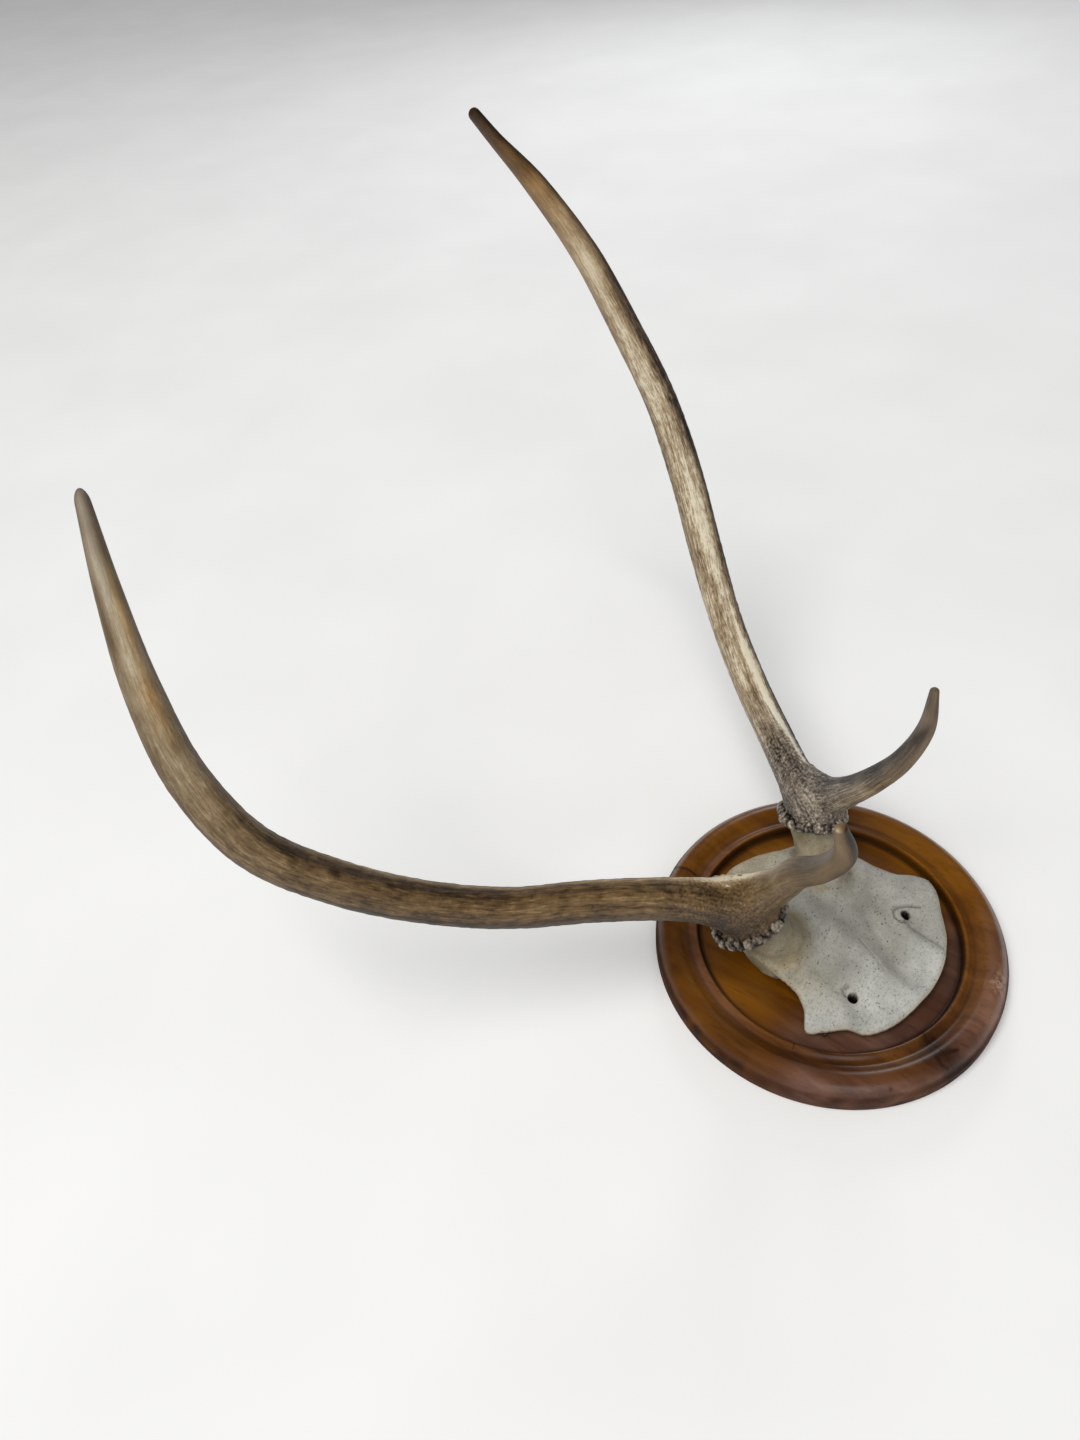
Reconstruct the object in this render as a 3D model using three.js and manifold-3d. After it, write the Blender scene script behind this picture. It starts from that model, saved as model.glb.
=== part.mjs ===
// A mounted pair of four-point deer antlers: two antlers on their skull plate, on a turned wooden plaque.
// Millimetres. The origin is the centre of the plaque's flat back. +Z points away from the wall, +Y to
// the crown of the head, so the nose end of the skull is at -Y. Left and right are the viewer's.
import * as THREE from 'three';
import { mergeVertices } from 'three/addons/utils/BufferGeometryUtils.js';
import Module from 'manifold-3d';

const wasm = await Module();
wasm.setup();

// ---------- driving dimensions ----------
const GAP = 0.3; // clearance between pieces that touch in the real thing

const PLAQUE = {
  radius: 105,
  wallTop: 10, // height of the plain side wall
  crest: { radius: 94.5, height: 19.5 }, // top of the rounded moulding
  cove: { radius: 86, height: 15.2 }, // bottom of the hollow inside it
  bead: { radius: 80.6, height: 17.4 }, // thin round bead at the inner edge
  panelRadius: 77.8,
  panelHeight: 11.5, // top of the sunk flat panel
  segments: 54,
};
const CRACK = { bearing: 95.5, outerWidth: 1.3, innerWidth: 0.5, innerRadius: 79, floor: 3 };

// Each station is [x, y, z, radius] along the grown length, from the burr to the tip.
const RIGHT_BEAM = [
  [39, 35, 64, 17.5],
  [43, 41.6, 73, 15.2],
  [51.6, 56, 79.3, 11.7],
  [67.4, 74.8, 82.1, 11.3],
  [101, 113, 87, 11.2],
  [134, 151, 102, 11.3],
  [164, 185, 129, 11.9],
  [187, 215, 166, 12.0],
  [198, 242, 209, 11.4],
  [195, 267, 256, 10.4],
  [185, 288, 303, 9.1],
  [169, 312, 348, 7.0],
  [155.4, 328.4, 375.2, 4.3],
  [147, 337, 392, 3.5],
];
const LEFT_BEAM = [
  [-47, 32, 64, 17.5],
  [-50, 37.5, 73.5, 16.5],
  [-59.5, 48.7, 83.5, 14.2],
  [-73.6, 64.6, 91.4, 12.5],
  [-104, 99, 99, 12.1],
  [-136, 131, 107, 11.7],
  [-165, 164, 123, 11.8],
  [-190, 195, 147, 12.1],
  [-209, 224, 178, 11.8],
  [-212, 250, 217, 10.8],
  [-202.8, 271.8, 257, 9.2],
  [-186.5, 295.3, 293.9, 6.5],
  [-166.6, 320.6, 329, 3.3],
];
const RIGHT_TINE = [
  [44, 40, 78, 11.0],
  [43, 28.2, 83.5, 11.4],
  [40, 15.2, 100.5, 9.0],
  [38, 2.4, 121.6, 7.6],
  [38.4, -8.5, 143.8, 6.3],
  [42.5, -14.7, 168, 4.9],
  [46, -13, 194, 2.3],
];
const LEFT_TINE = [
  [-51, 41, 80, 11.0],
  [-44, 29, 88, 12.4],
  [-44, 17, 108, 9.6],
  [-48, 8, 130, 8.6],
  [-51, -5, 148, 7.2],
  [-53.4, -14.1, 169.6, 6.3],
  [-58, -11, 194, 2.9],
];
// The burr's plane faces along the bone stump, not yet along the beam that bends away from it.
const RIGHT_BURR_AXIS = [0.36, 0.2, 0.91];
const LEFT_BURR_AXIS = [-0.12, 0.36, 0.925];
const BURR_SHARE = 0.065; // share of the beam over which its cross-section turns into line
const TIP_SHARE = 0.012; // last share of each grown length, rounded over to a blunt tip

// The burr is a slightly long oval; its long axis runs this many degrees up from the outer side.
const BURR = { knobs: 18, knobRadius: 3.6, flare: 4.0, flareLength: 7, oval: 0.07, ovalTurn: 35 };

// Bone stumps under the burrs, base first, same [x, y, z, radius] form.
const RIGHT_PEDICLE = [
  [26, 17, 25, 15.5],
  [29, 21, 33, 15],
  [33, 26.5, 46, 13.8],
  [37.6, 33, 60, 14.6],
  [39.5, 35.8, 66, 16],
];
const LEFT_PEDICLE = [
  [-27, 16.5, 25, 15.5],
  [-31, 19.5, 33, 15],
  [-37, 24, 46, 13.8],
  [-44.8, 30, 60, 14.6],
  [-47.8, 32.8, 66, 16],
];

// Plan outline of the cut bone, anticlockwise from the viewer's right.
const PLATE_OUTLINE = [
  [50.8, 5],
  [49.5, 22],
  [42.5, 37],
  [30.5, 47.5],
  [17.5, 60],
  [0, 69],
  [-17.5, 64],
  [-36, 50.5],
  [-46, 33],
  [-47.8, 20],
  [-49.8, 7],
  [-52.6, -4.8],
  [-58, -12.3],
  [-66.8, -18.7],
  [-62, -27.5],
  [-54, -38],
  [-49.5, -48.5],
  [-42, -55],
  [-25.5, -62],
  [-5, -66.5],
  [15.5, -66],
  [31.5, -61],
  [47, -51],
  [60, -42],
  [64.3, -35.3],
  [61.6, -27.8],
  [54.4, -18.5],
  [51.4, -8],
];
const PLATE = {
  rimHeight: 17, // height of the cut edge above the plaque's back, before the ridges raise it
  rise: 16, // how far the forehead bulges above the rim
  riseCentre: 20, // y of the highest bone, between the pedicles
  riseLength: 60,
  tilt: 0.02, // the bone sits a little lower at its left
  edgeThickness: 3,
  bossShare: 0.72, // the bone reaches down to the panel inside this share of the outline
};
// Valleys in the outer face, each along a broken line of [x, y].
const VALLEYS = [
  { way: [[30, 0], [17, -17.6], [3.5, -35], [-8.5, -51]], width: 7, depth: 2.4 },
  { way: [[-20, 18], [-32, 7], [-33, -9], [-34.5, -25], [-38, -34], [-51, -45]], width: 5.5, depth: 2.4 },
  { way: [[31, -36], [26, -40], [25.3, -50], [25, -62]], width: 4, depth: 1.6 },
];
const FORAMINA = [
  { x: -36, y: -32, radius: 2.5 },
  { x: 31, y: -35, radius: 2.3 },
];
const FORAMEN_DEPTH = 6;
const PIN = { x: -61.5, y: -27.5, radius: 1.2 };

// ---------- finishes ----------
const finish = (color, roughness, metalness = 0) =>
  new THREE.MeshStandardMaterial({ color, roughness, metalness });
const varnishedWood = finish('#7a451c', 0.3);
const bone = finish('#c3c1b2', 0.7);
const rightAntler = finish('#84705a', 0.55);
const leftAntler = finish('#75634a', 0.55);
const steel = finish('#a9a8a2', 0.4, 1);

// ---------- mesh helpers ----------
function toSolid(geometry) {
  const bare = geometry.clone();
  bare.deleteAttribute('normal');
  bare.deleteAttribute('uv');
  const merged = mergeVertices(bare, 1e-4);
  return new wasm.Manifold(new wasm.Mesh({
    numProp: 3,
    vertProperties: new Float32Array(merged.attributes.position.array),
    triVerts: new Uint32Array(merged.index.array),
  }));
}

function toGeometry(solid) {
  const mesh = solid.getMesh();
  const geometry = new THREE.BufferGeometry();
  geometry.setAttribute('position', new THREE.BufferAttribute(mesh.vertProperties, 3));
  geometry.setIndex(new THREE.BufferAttribute(mesh.triVerts, 1));
  geometry.computeVertexNormals();
  return geometry;
}

function movePoints(geometry, place) {
  const position = geometry.attributes.position;
  const point = new THREE.Vector3();
  for (let i = 0; i < position.count; i += 1) {
    point.fromBufferAttribute(position, i);
    place(point);
    position.setXYZ(i, point.x, point.y, point.z);
  }
  return geometry;
}

const bump = (distance, width) => Math.exp(-((distance / width) ** 2));

// ---------- grown limbs: beams, tines and pedicles ----------
// A limb's path and radius run smoothly through its stations.
function limbCurves(stations) {
  return {
    path: new THREE.CatmullRomCurve3(stations.map(([x, y, z]) => new THREE.Vector3(x, y, z))),
    radius: new THREE.CatmullRomCurve3(stations.map((s) => new THREE.Vector3(s[3], 0, 0))),
  };
}

// Axes of the cross-section at share t: `out` leans to the limb's outer side, `up` completes the frame.
// Where a foot axis is given, the section faces it at the foot and turns into line along the limb.
function crossAxes(path, t, outward, footAxis) {
  const along = path.getTangent(t);
  if (footAxis) {
    along.lerp(footAxis, 1 - THREE.MathUtils.smoothstep(t, 0, BURR_SHARE)).normalize();
  }
  const out = outward.clone().addScaledVector(along, -outward.dot(along)).normalize();
  const up = new THREE.Vector3().crossVectors(along, out);
  return { along, out, up };
}

// A capped cylinder's points carried along a limb. `swell` gives the radius factor at a share and angle,
// `gather` above 1 draws the rows towards the foot, and a blunt limb is rounded over at its tip.
function carriedLimb(stations, options) {
  const { sides, steps, outward, footAxis, grow = 0, gather = 1, blunt = true, swell = () => 1 } = options;
  const { path, radius } = limbCurves(stations);
  const cylinder = new THREE.CylinderGeometry(1, 1, 1, sides, steps);
  const bodyEnd = blunt ? 1 - TIP_SHARE : 1;
  const bodyRows = blunt ? 1 - 3 / steps : 1; // the last three rows round the tip over
  return movePoints(cylinder, (point) => {
    const row = 0.5 - point.y;
    const across = Math.hypot(point.x, point.z);
    const angle = Math.atan2(point.z, point.x);
    const dome = Math.max(row - bodyRows, 0) / Math.max(1 - bodyRows, 1e-6) * Math.PI / 2;
    const body = bodyEnd * Math.min(row / bodyRows, 1) ** gather;
    const t = Math.min(body + TIP_SHARE * Math.sin(dome), 1);
    const rounding = Math.max(Math.cos(dome), 0.08);
    const { along, out, up } = crossAxes(path, t, outward, footAxis);
    const size = (radius.getPoint(t).x * swell(t, angle) + grow) * rounding * across;
    const centre = path.getPoint(t);
    const shift = row === 0 ? -grow : row === 1 ? grow : 0;
    point.copy(centre);
    point.addScaledVector(out, size * Math.cos(angle));
    point.addScaledVector(up, size * Math.sin(angle));
    point.addScaledVector(along, shift);
  });
}

// Antler cross-section: shallow lengthwise flutes that fade out towards the tip, and the oval burr
// that flares out at the foot. `hand` is 1 on the right antler and -1 on its mirrored fellow.
function antlerSwell(length, hand) {
  const ovalTurn = THREE.MathUtils.degToRad(BURR.ovalTurn);
  return (t, angle) => {
    const nearBurr = bump(t * length, BURR.flareLength * 2);
    const oval = BURR.oval * nearBurr * Math.cos(2 * (hand * angle - ovalTurn));
    const flutes = 0.025 * (1 - t) * Math.cos(6 * angle + 3 * t);
    const flare = BURR.flare / 17 * bump(t * length, BURR.flareLength);
    return 1 + oval + flutes + flare;
  };
}

// The burr's knobs: faceted beads of uneven size round the foot of the beam.
function burrKnobs(stations, outward, footAxis, swell, grow) {
  const { path, radius } = limbCurves(stations);
  const { along, out, up } = crossAxes(path, 0, outward, footAxis);
  const knobs = [];
  for (let i = 0; i < BURR.knobs; i += 1) {
    const angle = i / BURR.knobs * 2 * Math.PI;
    const reach = radius.getPoint(0).x * swell(0, angle) - 1.6;
    const uneven = 0.85 + 0.2 * Math.sin(i * 2.4) + 0.12 * Math.cos(i * 1.3);
    const size = BURR.knobRadius * uneven;
    const knob = new THREE.IcosahedronGeometry(size + grow, 0);
    knob.rotateX(i * 1.1);
    knob.rotateZ(i * 0.7);
    const centre = path.getPoint(0);
    centre.addScaledVector(out, reach * Math.cos(angle));
    centre.addScaledVector(up, reach * Math.sin(angle));
    centre.addScaledVector(along, size * 0.5 + (i % 2));
    knob.translate(centre.x, centre.y, centre.z);
    knobs.push(toSolid(knob));
  }
  return knobs;
}

function beamSolid(stations, burrAxis, hand, grow = 0) {
  const outward = new THREE.Vector3(hand, 0, 0);
  const footAxis = new THREE.Vector3(...burrAxis);
  const swell = antlerSwell(limbCurves(stations).path.getLength(), hand);
  const shape = { sides: 16, steps: 34, gather: 1.5, outward, footAxis, grow, swell };
  const limb = carriedLimb(stations, shape);
  const knobs = burrKnobs(stations, outward, footAxis, swell, grow);
  return knobs.reduce((solid, knob) => solid.add(knob), toSolid(limb));
}

function tineSolid(stations, hand) {
  const outward = new THREE.Vector3(hand, 0, 0);
  return toSolid(carriedLimb(stations, { sides: 12, steps: 16, outward }));
}

function pedicleSolid(stations, hand) {
  const outward = new THREE.Vector3(hand, 0, 0);
  return toSolid(carriedLimb(stations, { sides: 16, steps: 8, outward, blunt: false }));
}

// ---------- skull plate ----------
// How far a valley lowers the outer face: its depth, less with distance from its broken line.
function valleyDrop(x, y, { way, width, depth }) {
  let nearest = Infinity;
  for (let i = 1; i < way.length; i += 1) {
    const [startX, startY] = way[i - 1];
    const stepX = way[i][0] - startX;
    const stepY = way[i][1] - startY;
    const share = ((x - startX) * stepX + (y - startY) * stepY) / (stepX ** 2 + stepY ** 2);
    const t = THREE.MathUtils.clamp(share, 0, 1);
    nearest = Math.min(nearest, Math.hypot(x - startX - t * stepX, y - startY - t * stepY));
  }
  return depth * bump(nearest, width);
}

// Height of the bone's outer face over the plan: a bulging forehead, a midline ridge, raised brow
// edges and the valleys.
function boneTop(x, y) {
  const { rimHeight, rise, riseCentre, riseLength, tilt } = PLATE;
  const midline = x + 4 - 0.18 * y;
  const forehead = rise * bump(y - riseCentre, riseLength);
  const aside = Math.min(1, Math.abs(x) / 66);
  const fall = 1 - 0.42 * aside ** 2 - 0.45 * aside ** 6;
  const front = 1 / (1 + Math.exp((y - 14) / 9));
  const ridge = 2.6 * front * bump(midline, 7);
  const brow = 1.2 * front * (bump(x - 54, 10) + bump(x + 52, 10));
  const drop = VALLEYS.reduce((sum, valley) => sum + valleyDrop(x, y, valley), 0);
  return rimHeight + tilt * x + forehead * fall + ridge + brow - drop;
}

function plateSolid() {
  const { edgeThickness, bossShare, rimHeight } = PLATE;
  const outline = new THREE.CatmullRomCurve3(
    PLATE_OUTLINE.map(([x, y]) => new THREE.Vector3(x, y, 0)),
    true,
  );
  // Rows from the middle of the top, over the cut edge, to the middle of the underside: each row's
  // share of the outline, and where it lies.
  const topRows = [0, 0.15, 0.3, 0.44, 0.56, 0.67, 0.77, 0.86, 0.94, 1].map((q) => ({ q, face: 'top' }));
  const underRows = [
    { q: 0.995, face: 'edge' },
    { q: bossShare + 0.12, face: 'edge' },
    { q: bossShare, face: 'foot' },
    { q: bossShare / 2, face: 'foot' },
    { q: 0, face: 'foot' },
  ];
  const rows = [...topRows, ...underRows];
  const footHeight = PLAQUE.panelHeight + GAP;
  const ball = new THREE.SphereGeometry(1, 44, rows.length - 1);
  ball.rotateX(Math.PI / 2);
  movePoints(ball, (point) => {
    const down = Math.acos(THREE.MathUtils.clamp(point.z, -1, 1)) / Math.PI;
    const row = rows[Math.round(down * (rows.length - 1))];
    const turn = (Math.atan2(point.y, point.x) / (2 * Math.PI) + 1) % 1;
    const edge = outline.getPoint(turn);
    const x = edge.x * row.q;
    const y = edge.y * row.q;
    const top = boneTop(x, y);
    const under = Math.max(top - edgeThickness, footHeight + 0.5);
    const z = { top, edge: under, foot: footHeight }[row.face];
    point.set(x, y, z);
  });
  return toSolid(ball);
}

function foramenDrill({ x, y, radius }) {
  const drill = new THREE.CylinderGeometry(radius, radius * 0.7, 2 * FORAMEN_DEPTH, 10);
  drill.rotateX(Math.PI / 2);
  drill.translate(x, y, boneTop(x, y));
  return toSolid(drill);
}

// ---------- plaque ----------
function plaqueSolid() {
  const { radius, wallTop, crest, cove, bead, panelRadius, panelHeight, segments } = PLAQUE;
  const profile = [
    [0, 0],
    [radius - 1.5, 0],
    [radius, 1.5],
    [radius, wallTop],
    [radius - 1, wallTop + 1.6],
    [radius - 3, wallTop + 5.4],
    [radius - 6.4, wallTop + 8.3],
    [crest.radius, crest.height],
    [crest.radius - 4, crest.height - 1.3],
    [cove.radius, cove.height],
    [cove.radius - 2.6, cove.height + 0.5],
    [bead.radius + 0.9, bead.height - 0.4],
    [bead.radius, bead.height],
    [bead.radius - 1.2, bead.height - 0.9],
    [panelRadius + 0.4, panelHeight + 1.2],
    [panelRadius, panelHeight],
    [0, panelHeight],
  ];
  const turned = new THREE.LatheGeometry(profile.map(([r, z]) => new THREE.Vector2(r, z)), segments);
  turned.rotateX(Math.PI / 2); // the lathe turns about +Y
  return toSolid(turned);
}

// The open radial crack at the top of the rim: a thin wedge, wider at the outer edge.
function crackWedge() {
  const { bearing, outerWidth, innerWidth, innerRadius, floor } = CRACK;
  const reach = PLAQUE.radius + 2;
  const wedge = new THREE.Shape();
  wedge.moveTo(innerRadius, -innerWidth / 2);
  wedge.lineTo(reach, -outerWidth / 2);
  wedge.lineTo(reach, outerWidth / 2);
  wedge.lineTo(innerRadius, innerWidth / 2);
  wedge.closePath();
  const cut = new THREE.ExtrudeGeometry(wedge, { depth: PLAQUE.crest.height, bevelEnabled: false });
  cut.rotateZ(THREE.MathUtils.degToRad(bearing));
  cut.translate(0, 0, floor);
  return toSolid(cut);
}

// ---------- assembly ----------
const RIGHT = 1;
const LEFT = -1;
const trophy = new THREE.Group();

function addPiece(name, solid, material) {
  const mesh = new THREE.Mesh(toGeometry(solid), material);
  mesh.name = name;
  trophy.add(mesh);
}

// Adds a beam and its brow tine, and gives back the room that the beam needs in its neighbours.
function addAntler(name, hand, beamStations, burrAxis, tineStations, material) {
  const room = beamSolid(beamStations, burrAxis, hand, GAP);
  addPiece(`${name}_beam`, beamSolid(beamStations, burrAxis, hand), material);
  addPiece(`${name}_brow_tine`, tineSolid(tineStations, hand).subtract(room), material);
  return room;
}

const rightRoom = addAntler('right', RIGHT, RIGHT_BEAM, RIGHT_BURR_AXIS, RIGHT_TINE, rightAntler);
const leftRoom = addAntler('left', LEFT, LEFT_BEAM, LEFT_BURR_AXIS, LEFT_TINE, leftAntler);

const skull = plateSolid()
  .add(pedicleSolid(RIGHT_PEDICLE, RIGHT))
  .add(pedicleSolid(LEFT_PEDICLE, LEFT))
  .subtract(rightRoom)
  .subtract(leftRoom);
const drilledSkull = FORAMINA.reduce((solid, hole) => solid.subtract(foramenDrill(hole)), skull);
addPiece('skull_plate', drilledSkull, bone);
addPiece('plaque', plaqueSolid().subtract(crackWedge()), varnishedWood);

const pinFoot = PLAQUE.panelHeight + GAP;
const pinTop = boneTop(PIN.x, PIN.y) - PLATE.edgeThickness - 2 * GAP;
const pin = new THREE.CylinderGeometry(PIN.radius, PIN.radius, pinTop - pinFoot, 12);
pin.rotateX(Math.PI / 2);
pin.translate(PIN.x, PIN.y, (pinTop + pinFoot) / 2);
addPiece('fixing_pin', toSolid(pin), steel);

export default trophy;
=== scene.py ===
"""Mounted deer antlers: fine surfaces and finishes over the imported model.

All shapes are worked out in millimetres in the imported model's frame (origin at the centre of the
plaque's back, +Z away from the wall, +Y to the crown, left and right as the viewer sees them)
and are turned to metres as they become meshes.
"""

import bpy
import numpy as np
from mathutils import Matrix, Vector


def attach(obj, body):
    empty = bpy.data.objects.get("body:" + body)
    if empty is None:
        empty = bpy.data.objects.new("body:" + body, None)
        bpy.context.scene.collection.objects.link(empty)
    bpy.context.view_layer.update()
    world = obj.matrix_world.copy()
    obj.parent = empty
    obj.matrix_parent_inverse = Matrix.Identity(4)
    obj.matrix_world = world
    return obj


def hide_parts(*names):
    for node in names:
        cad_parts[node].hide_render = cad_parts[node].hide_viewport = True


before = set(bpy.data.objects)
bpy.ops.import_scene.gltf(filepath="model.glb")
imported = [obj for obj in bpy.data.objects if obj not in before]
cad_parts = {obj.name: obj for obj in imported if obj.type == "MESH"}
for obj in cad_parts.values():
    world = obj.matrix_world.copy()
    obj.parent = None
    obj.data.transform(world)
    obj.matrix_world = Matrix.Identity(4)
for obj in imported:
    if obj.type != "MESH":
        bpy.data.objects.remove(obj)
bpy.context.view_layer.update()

bl_info = {
    "name": "Mounted Antlers",
    "version": (1, 0, 0),
    "blender": (4, 5, 0),
    "location": "View3D > Sidebar > Mounted Antlers",
    "description": "Deer antlers on their skull plate and a turned wooden plaque",
    "category": "Object",
}

MM = 0.001
TURN = 2 * np.pi

# Stations along each grown length, foot first: x, y, z and radius, in millimetres.
RIGHT_BEAM = np.array([
    [39, 35, 64, 17.5], [43, 41.6, 73, 15.2], [51.6, 56, 79.3, 11.7], [67.4, 74.8, 82.1, 11.3],
    [101, 113, 87, 11.2], [134, 151, 102, 11.3], [164, 185, 129, 11.9], [187, 215, 166, 12.0],
    [198, 242, 209, 11.4], [195, 267, 256, 10.4], [185, 288, 303, 9.1], [169, 312, 348, 7.0],
    [155.4, 328.4, 375.2, 4.3], [147, 337, 392, 3.5],
])
LEFT_BEAM = np.array([
    [-47, 32, 64, 17.5], [-50, 37.5, 73.5, 16.5], [-59.5, 48.7, 83.5, 14.2], [-73.6, 64.6, 91.4, 12.5],
    [-104, 99, 99, 12.1], [-136, 131, 107, 11.7], [-165, 164, 123, 11.8], [-190, 195, 147, 12.1],
    [-209, 224, 178, 11.8], [-212, 250, 217, 10.8], [-202.8, 271.8, 257, 9.2], [-186.5, 295.3, 293.9, 6.5],
    [-166.6, 320.6, 329, 3.3],
])
RIGHT_TINE = np.array([
    [44, 40, 78, 11.0], [43, 28.2, 83.5, 11.4], [40, 15.2, 100.5, 9.0], [38, 2.4, 121.6, 7.6],
    [38.4, -8.5, 143.8, 6.3], [42.5, -14.7, 168, 4.9], [46, -13, 194, 2.3],
])
LEFT_TINE = np.array([
    [-51, 41, 80, 11.0], [-44, 29, 88, 12.4], [-44, 17, 108, 9.6], [-48, 8, 130, 8.6],
    [-51, -5, 148, 7.2], [-53.4, -14.1, 169.6, 6.3], [-58, -11, 194, 2.9],
])
RIGHT_PEDICLE = np.array([
    [26, 17, 25, 15.5], [29, 21, 33, 15], [33, 26.5, 46, 13.8], [37.6, 33, 60, 14.6],
    [39.5, 35.8, 66, 16],
])
LEFT_PEDICLE = np.array([
    [-27, 16.5, 25, 15.5], [-31, 19.5, 33, 15], [-37, 24, 46, 13.8], [-44.8, 30, 60, 14.6],
    [-47.8, 32.8, 66, 16],
])
# The directions the burrs' planes face.
RIGHT_BURR_AXIS = np.array([0.36, 0.2, 0.91])
LEFT_BURR_AXIS = np.array([-0.12, 0.36, 0.925])
BURR_SHARE = 0.065  # share of a beam over which its section turns from the burr's plane into line
TIP_SHARE = 0.012  # share of a grown length that is rounded over at its tip

# The skull plate's sawn outline in plan, from its right side round by the crown.
PLATE_OUTLINE = np.array([
    [50.8, 5], [49.5, 22], [42.5, 37], [30.5, 47.5], [17.5, 60], [0, 69],
    [-17.5, 64], [-36, 50.5], [-46, 33], [-47.8, 20], [-49.8, 7], [-52.6, -4.8],
    [-58, -12.3], [-66.8, -18.7], [-62, -27.5], [-54, -38], [-49.5, -48.5], [-42, -55],
    [-25.5, -62], [-5, -66.5], [15.5, -66], [31.5, -61], [47, -51], [60, -42],
    [64.3, -35.3], [61.6, -27.8], [54.4, -18.5], [51.4, -8],
])
# Creases in its outer face: the hooked groove round the right foramen, vessel grooves and a scratch.
CREASES = [
    ([(41, -40), (36.5, -33), (32, -29), (28, -28.3), (25, -30.5), (24.6, -35), (27.5, -37)], 0.9, 1.5),
    ([(29, -38), (25.7, -40), (25.3, -50), (24.8, -62)], 1.1, 0.9),
    ([(-31.5, -26.5), (-34.5, -25.2), (-37, -28)], 1.2, 1.1),
    ([(-3, -20), (-7, -30), (-12, -40)], 0.7, 0.4),
]
PANEL_TOP = 11.5
BONE_FOOT = PANEL_TOP + 0.3
FORAMINA = [(-36.0, -32.0, 2.5), (31.0, -35.0, 2.3)]
# Pits in the outer face: place in plan and radius.
PITS = [(42, -30.4, 0.7), (45, -34, 0.8), (36.6, -26.5, 0.5), (43.7, -3, 0.6), (45.3, -4, 0.6),
        (-32, -26, 0.9)]
# Valleys in the bone's outer face: a broken line in plan, then width and depth.
VALLEYS = [
    ([(30, 0), (17, -17.6), (3.5, -35), (-8.5, -51)], 7, 2.4),
    ([(-20, 18), (-32, 7), (-33, -9), (-34.5, -25), (-38, -34), (-51, -45)], 5.5, 2.4),
    ([(31, -36), (26, -40), (25.3, -50), (25, -62)], 4, 1.6),
]

# Half section of the turned plaque, from the middle of its back to the middle of its panel.
PLAQUE_SECTION = np.array([
    [0, 0], [60, 0], [103.4, 0], [104.6, 0.5], [105, 1.6], [105, 6], [104.9, 9.6], [104.3, 11.2],
    [103.2, 13.6], [101.2, 16.2], [98.4, 18.5], [94.5, 19.5], [91.2, 18.7], [88.4, 16.6],
    [86, 15.3], [83.8, 15.4], [82.2, 16.4], [81.4, 17.2], [80.6, 17.4], [79.7, 17.1],
    [79.1, 16.3], [78.6, 14.2], [78.1, 12.2], [77.6, 11.6], [76.6, 11.5], [40, 11.5], [0, 11.5],
])
RIM_RADIUS, PANEL_RADIUS = 105, 78.5
PIN_PLACE = (-61.5, -27.5)
PIN_RADIUS = 1.2

# Radial cracks: bearing in degrees, the radii it runs between, width at the rim and inside, depth.
SPLITS = (
    (95.5, 79.0, 200.0, 1.3, 0.5, 99.0), (-114.0, 69.5, 103.0, 0.36, 0.22, 0.7),
    (-168.0, 78.8, 82.5, 0.5, 0.5, 0.6),
)
SPLIT_FLOOR = 3.0  # height above the back that no crack goes below
# Fine branching cracks that only show as dark lines, in plan.
CHECKS = (
    ((-33, -73), (-36, -77.5), (-42, -82.5), (-45, -88), (-43.5, -95)),
    ((-42, -82.5), (-37, -88), (-32, -92)), ((-36, -77.5), (-31, -79)),
)
SLIM = 0.965  # share of the stations' radius under the crests of furrows and pearls
LIMB_CAP, BONE_CAP = 5.0, 7.0  # the most a soft union may add to a limb and to the skull bone
BURR_LEAN = np.radians(35)  # bearing of the long axis of a burr's oval, seen on the right antler
PLATE_SLOPE = 0.92  # share of the height above the sloping plate that is distance from its skin
# Furrows round a limb: how many, their depth in millimetres and their width as a share of the pitch.
FURROWS = ((3, 0.42, 0.30), (5, 0.34, 0.30), (9, 0.26, 0.34), (14, 0.17, 0.42), (23, 0.10, 0.55))
# Rows of pearls on a burr: level in half turns of its section, how many, and their radius.
PEARL_ROWS = ((-0.50, 24, 2.2), (-0.27, 27, 2.5), (-0.04, 28, 2.8), (0.18, 27, 2.7), (0.40, 25, 2.1))


def all_round(*pairs):
    """A patch that goes all round, from pairs of millimetres from the foot and strength."""
    return [[place, 0, 0, 1, 9, strength] for place, strength in pairs]


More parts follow.
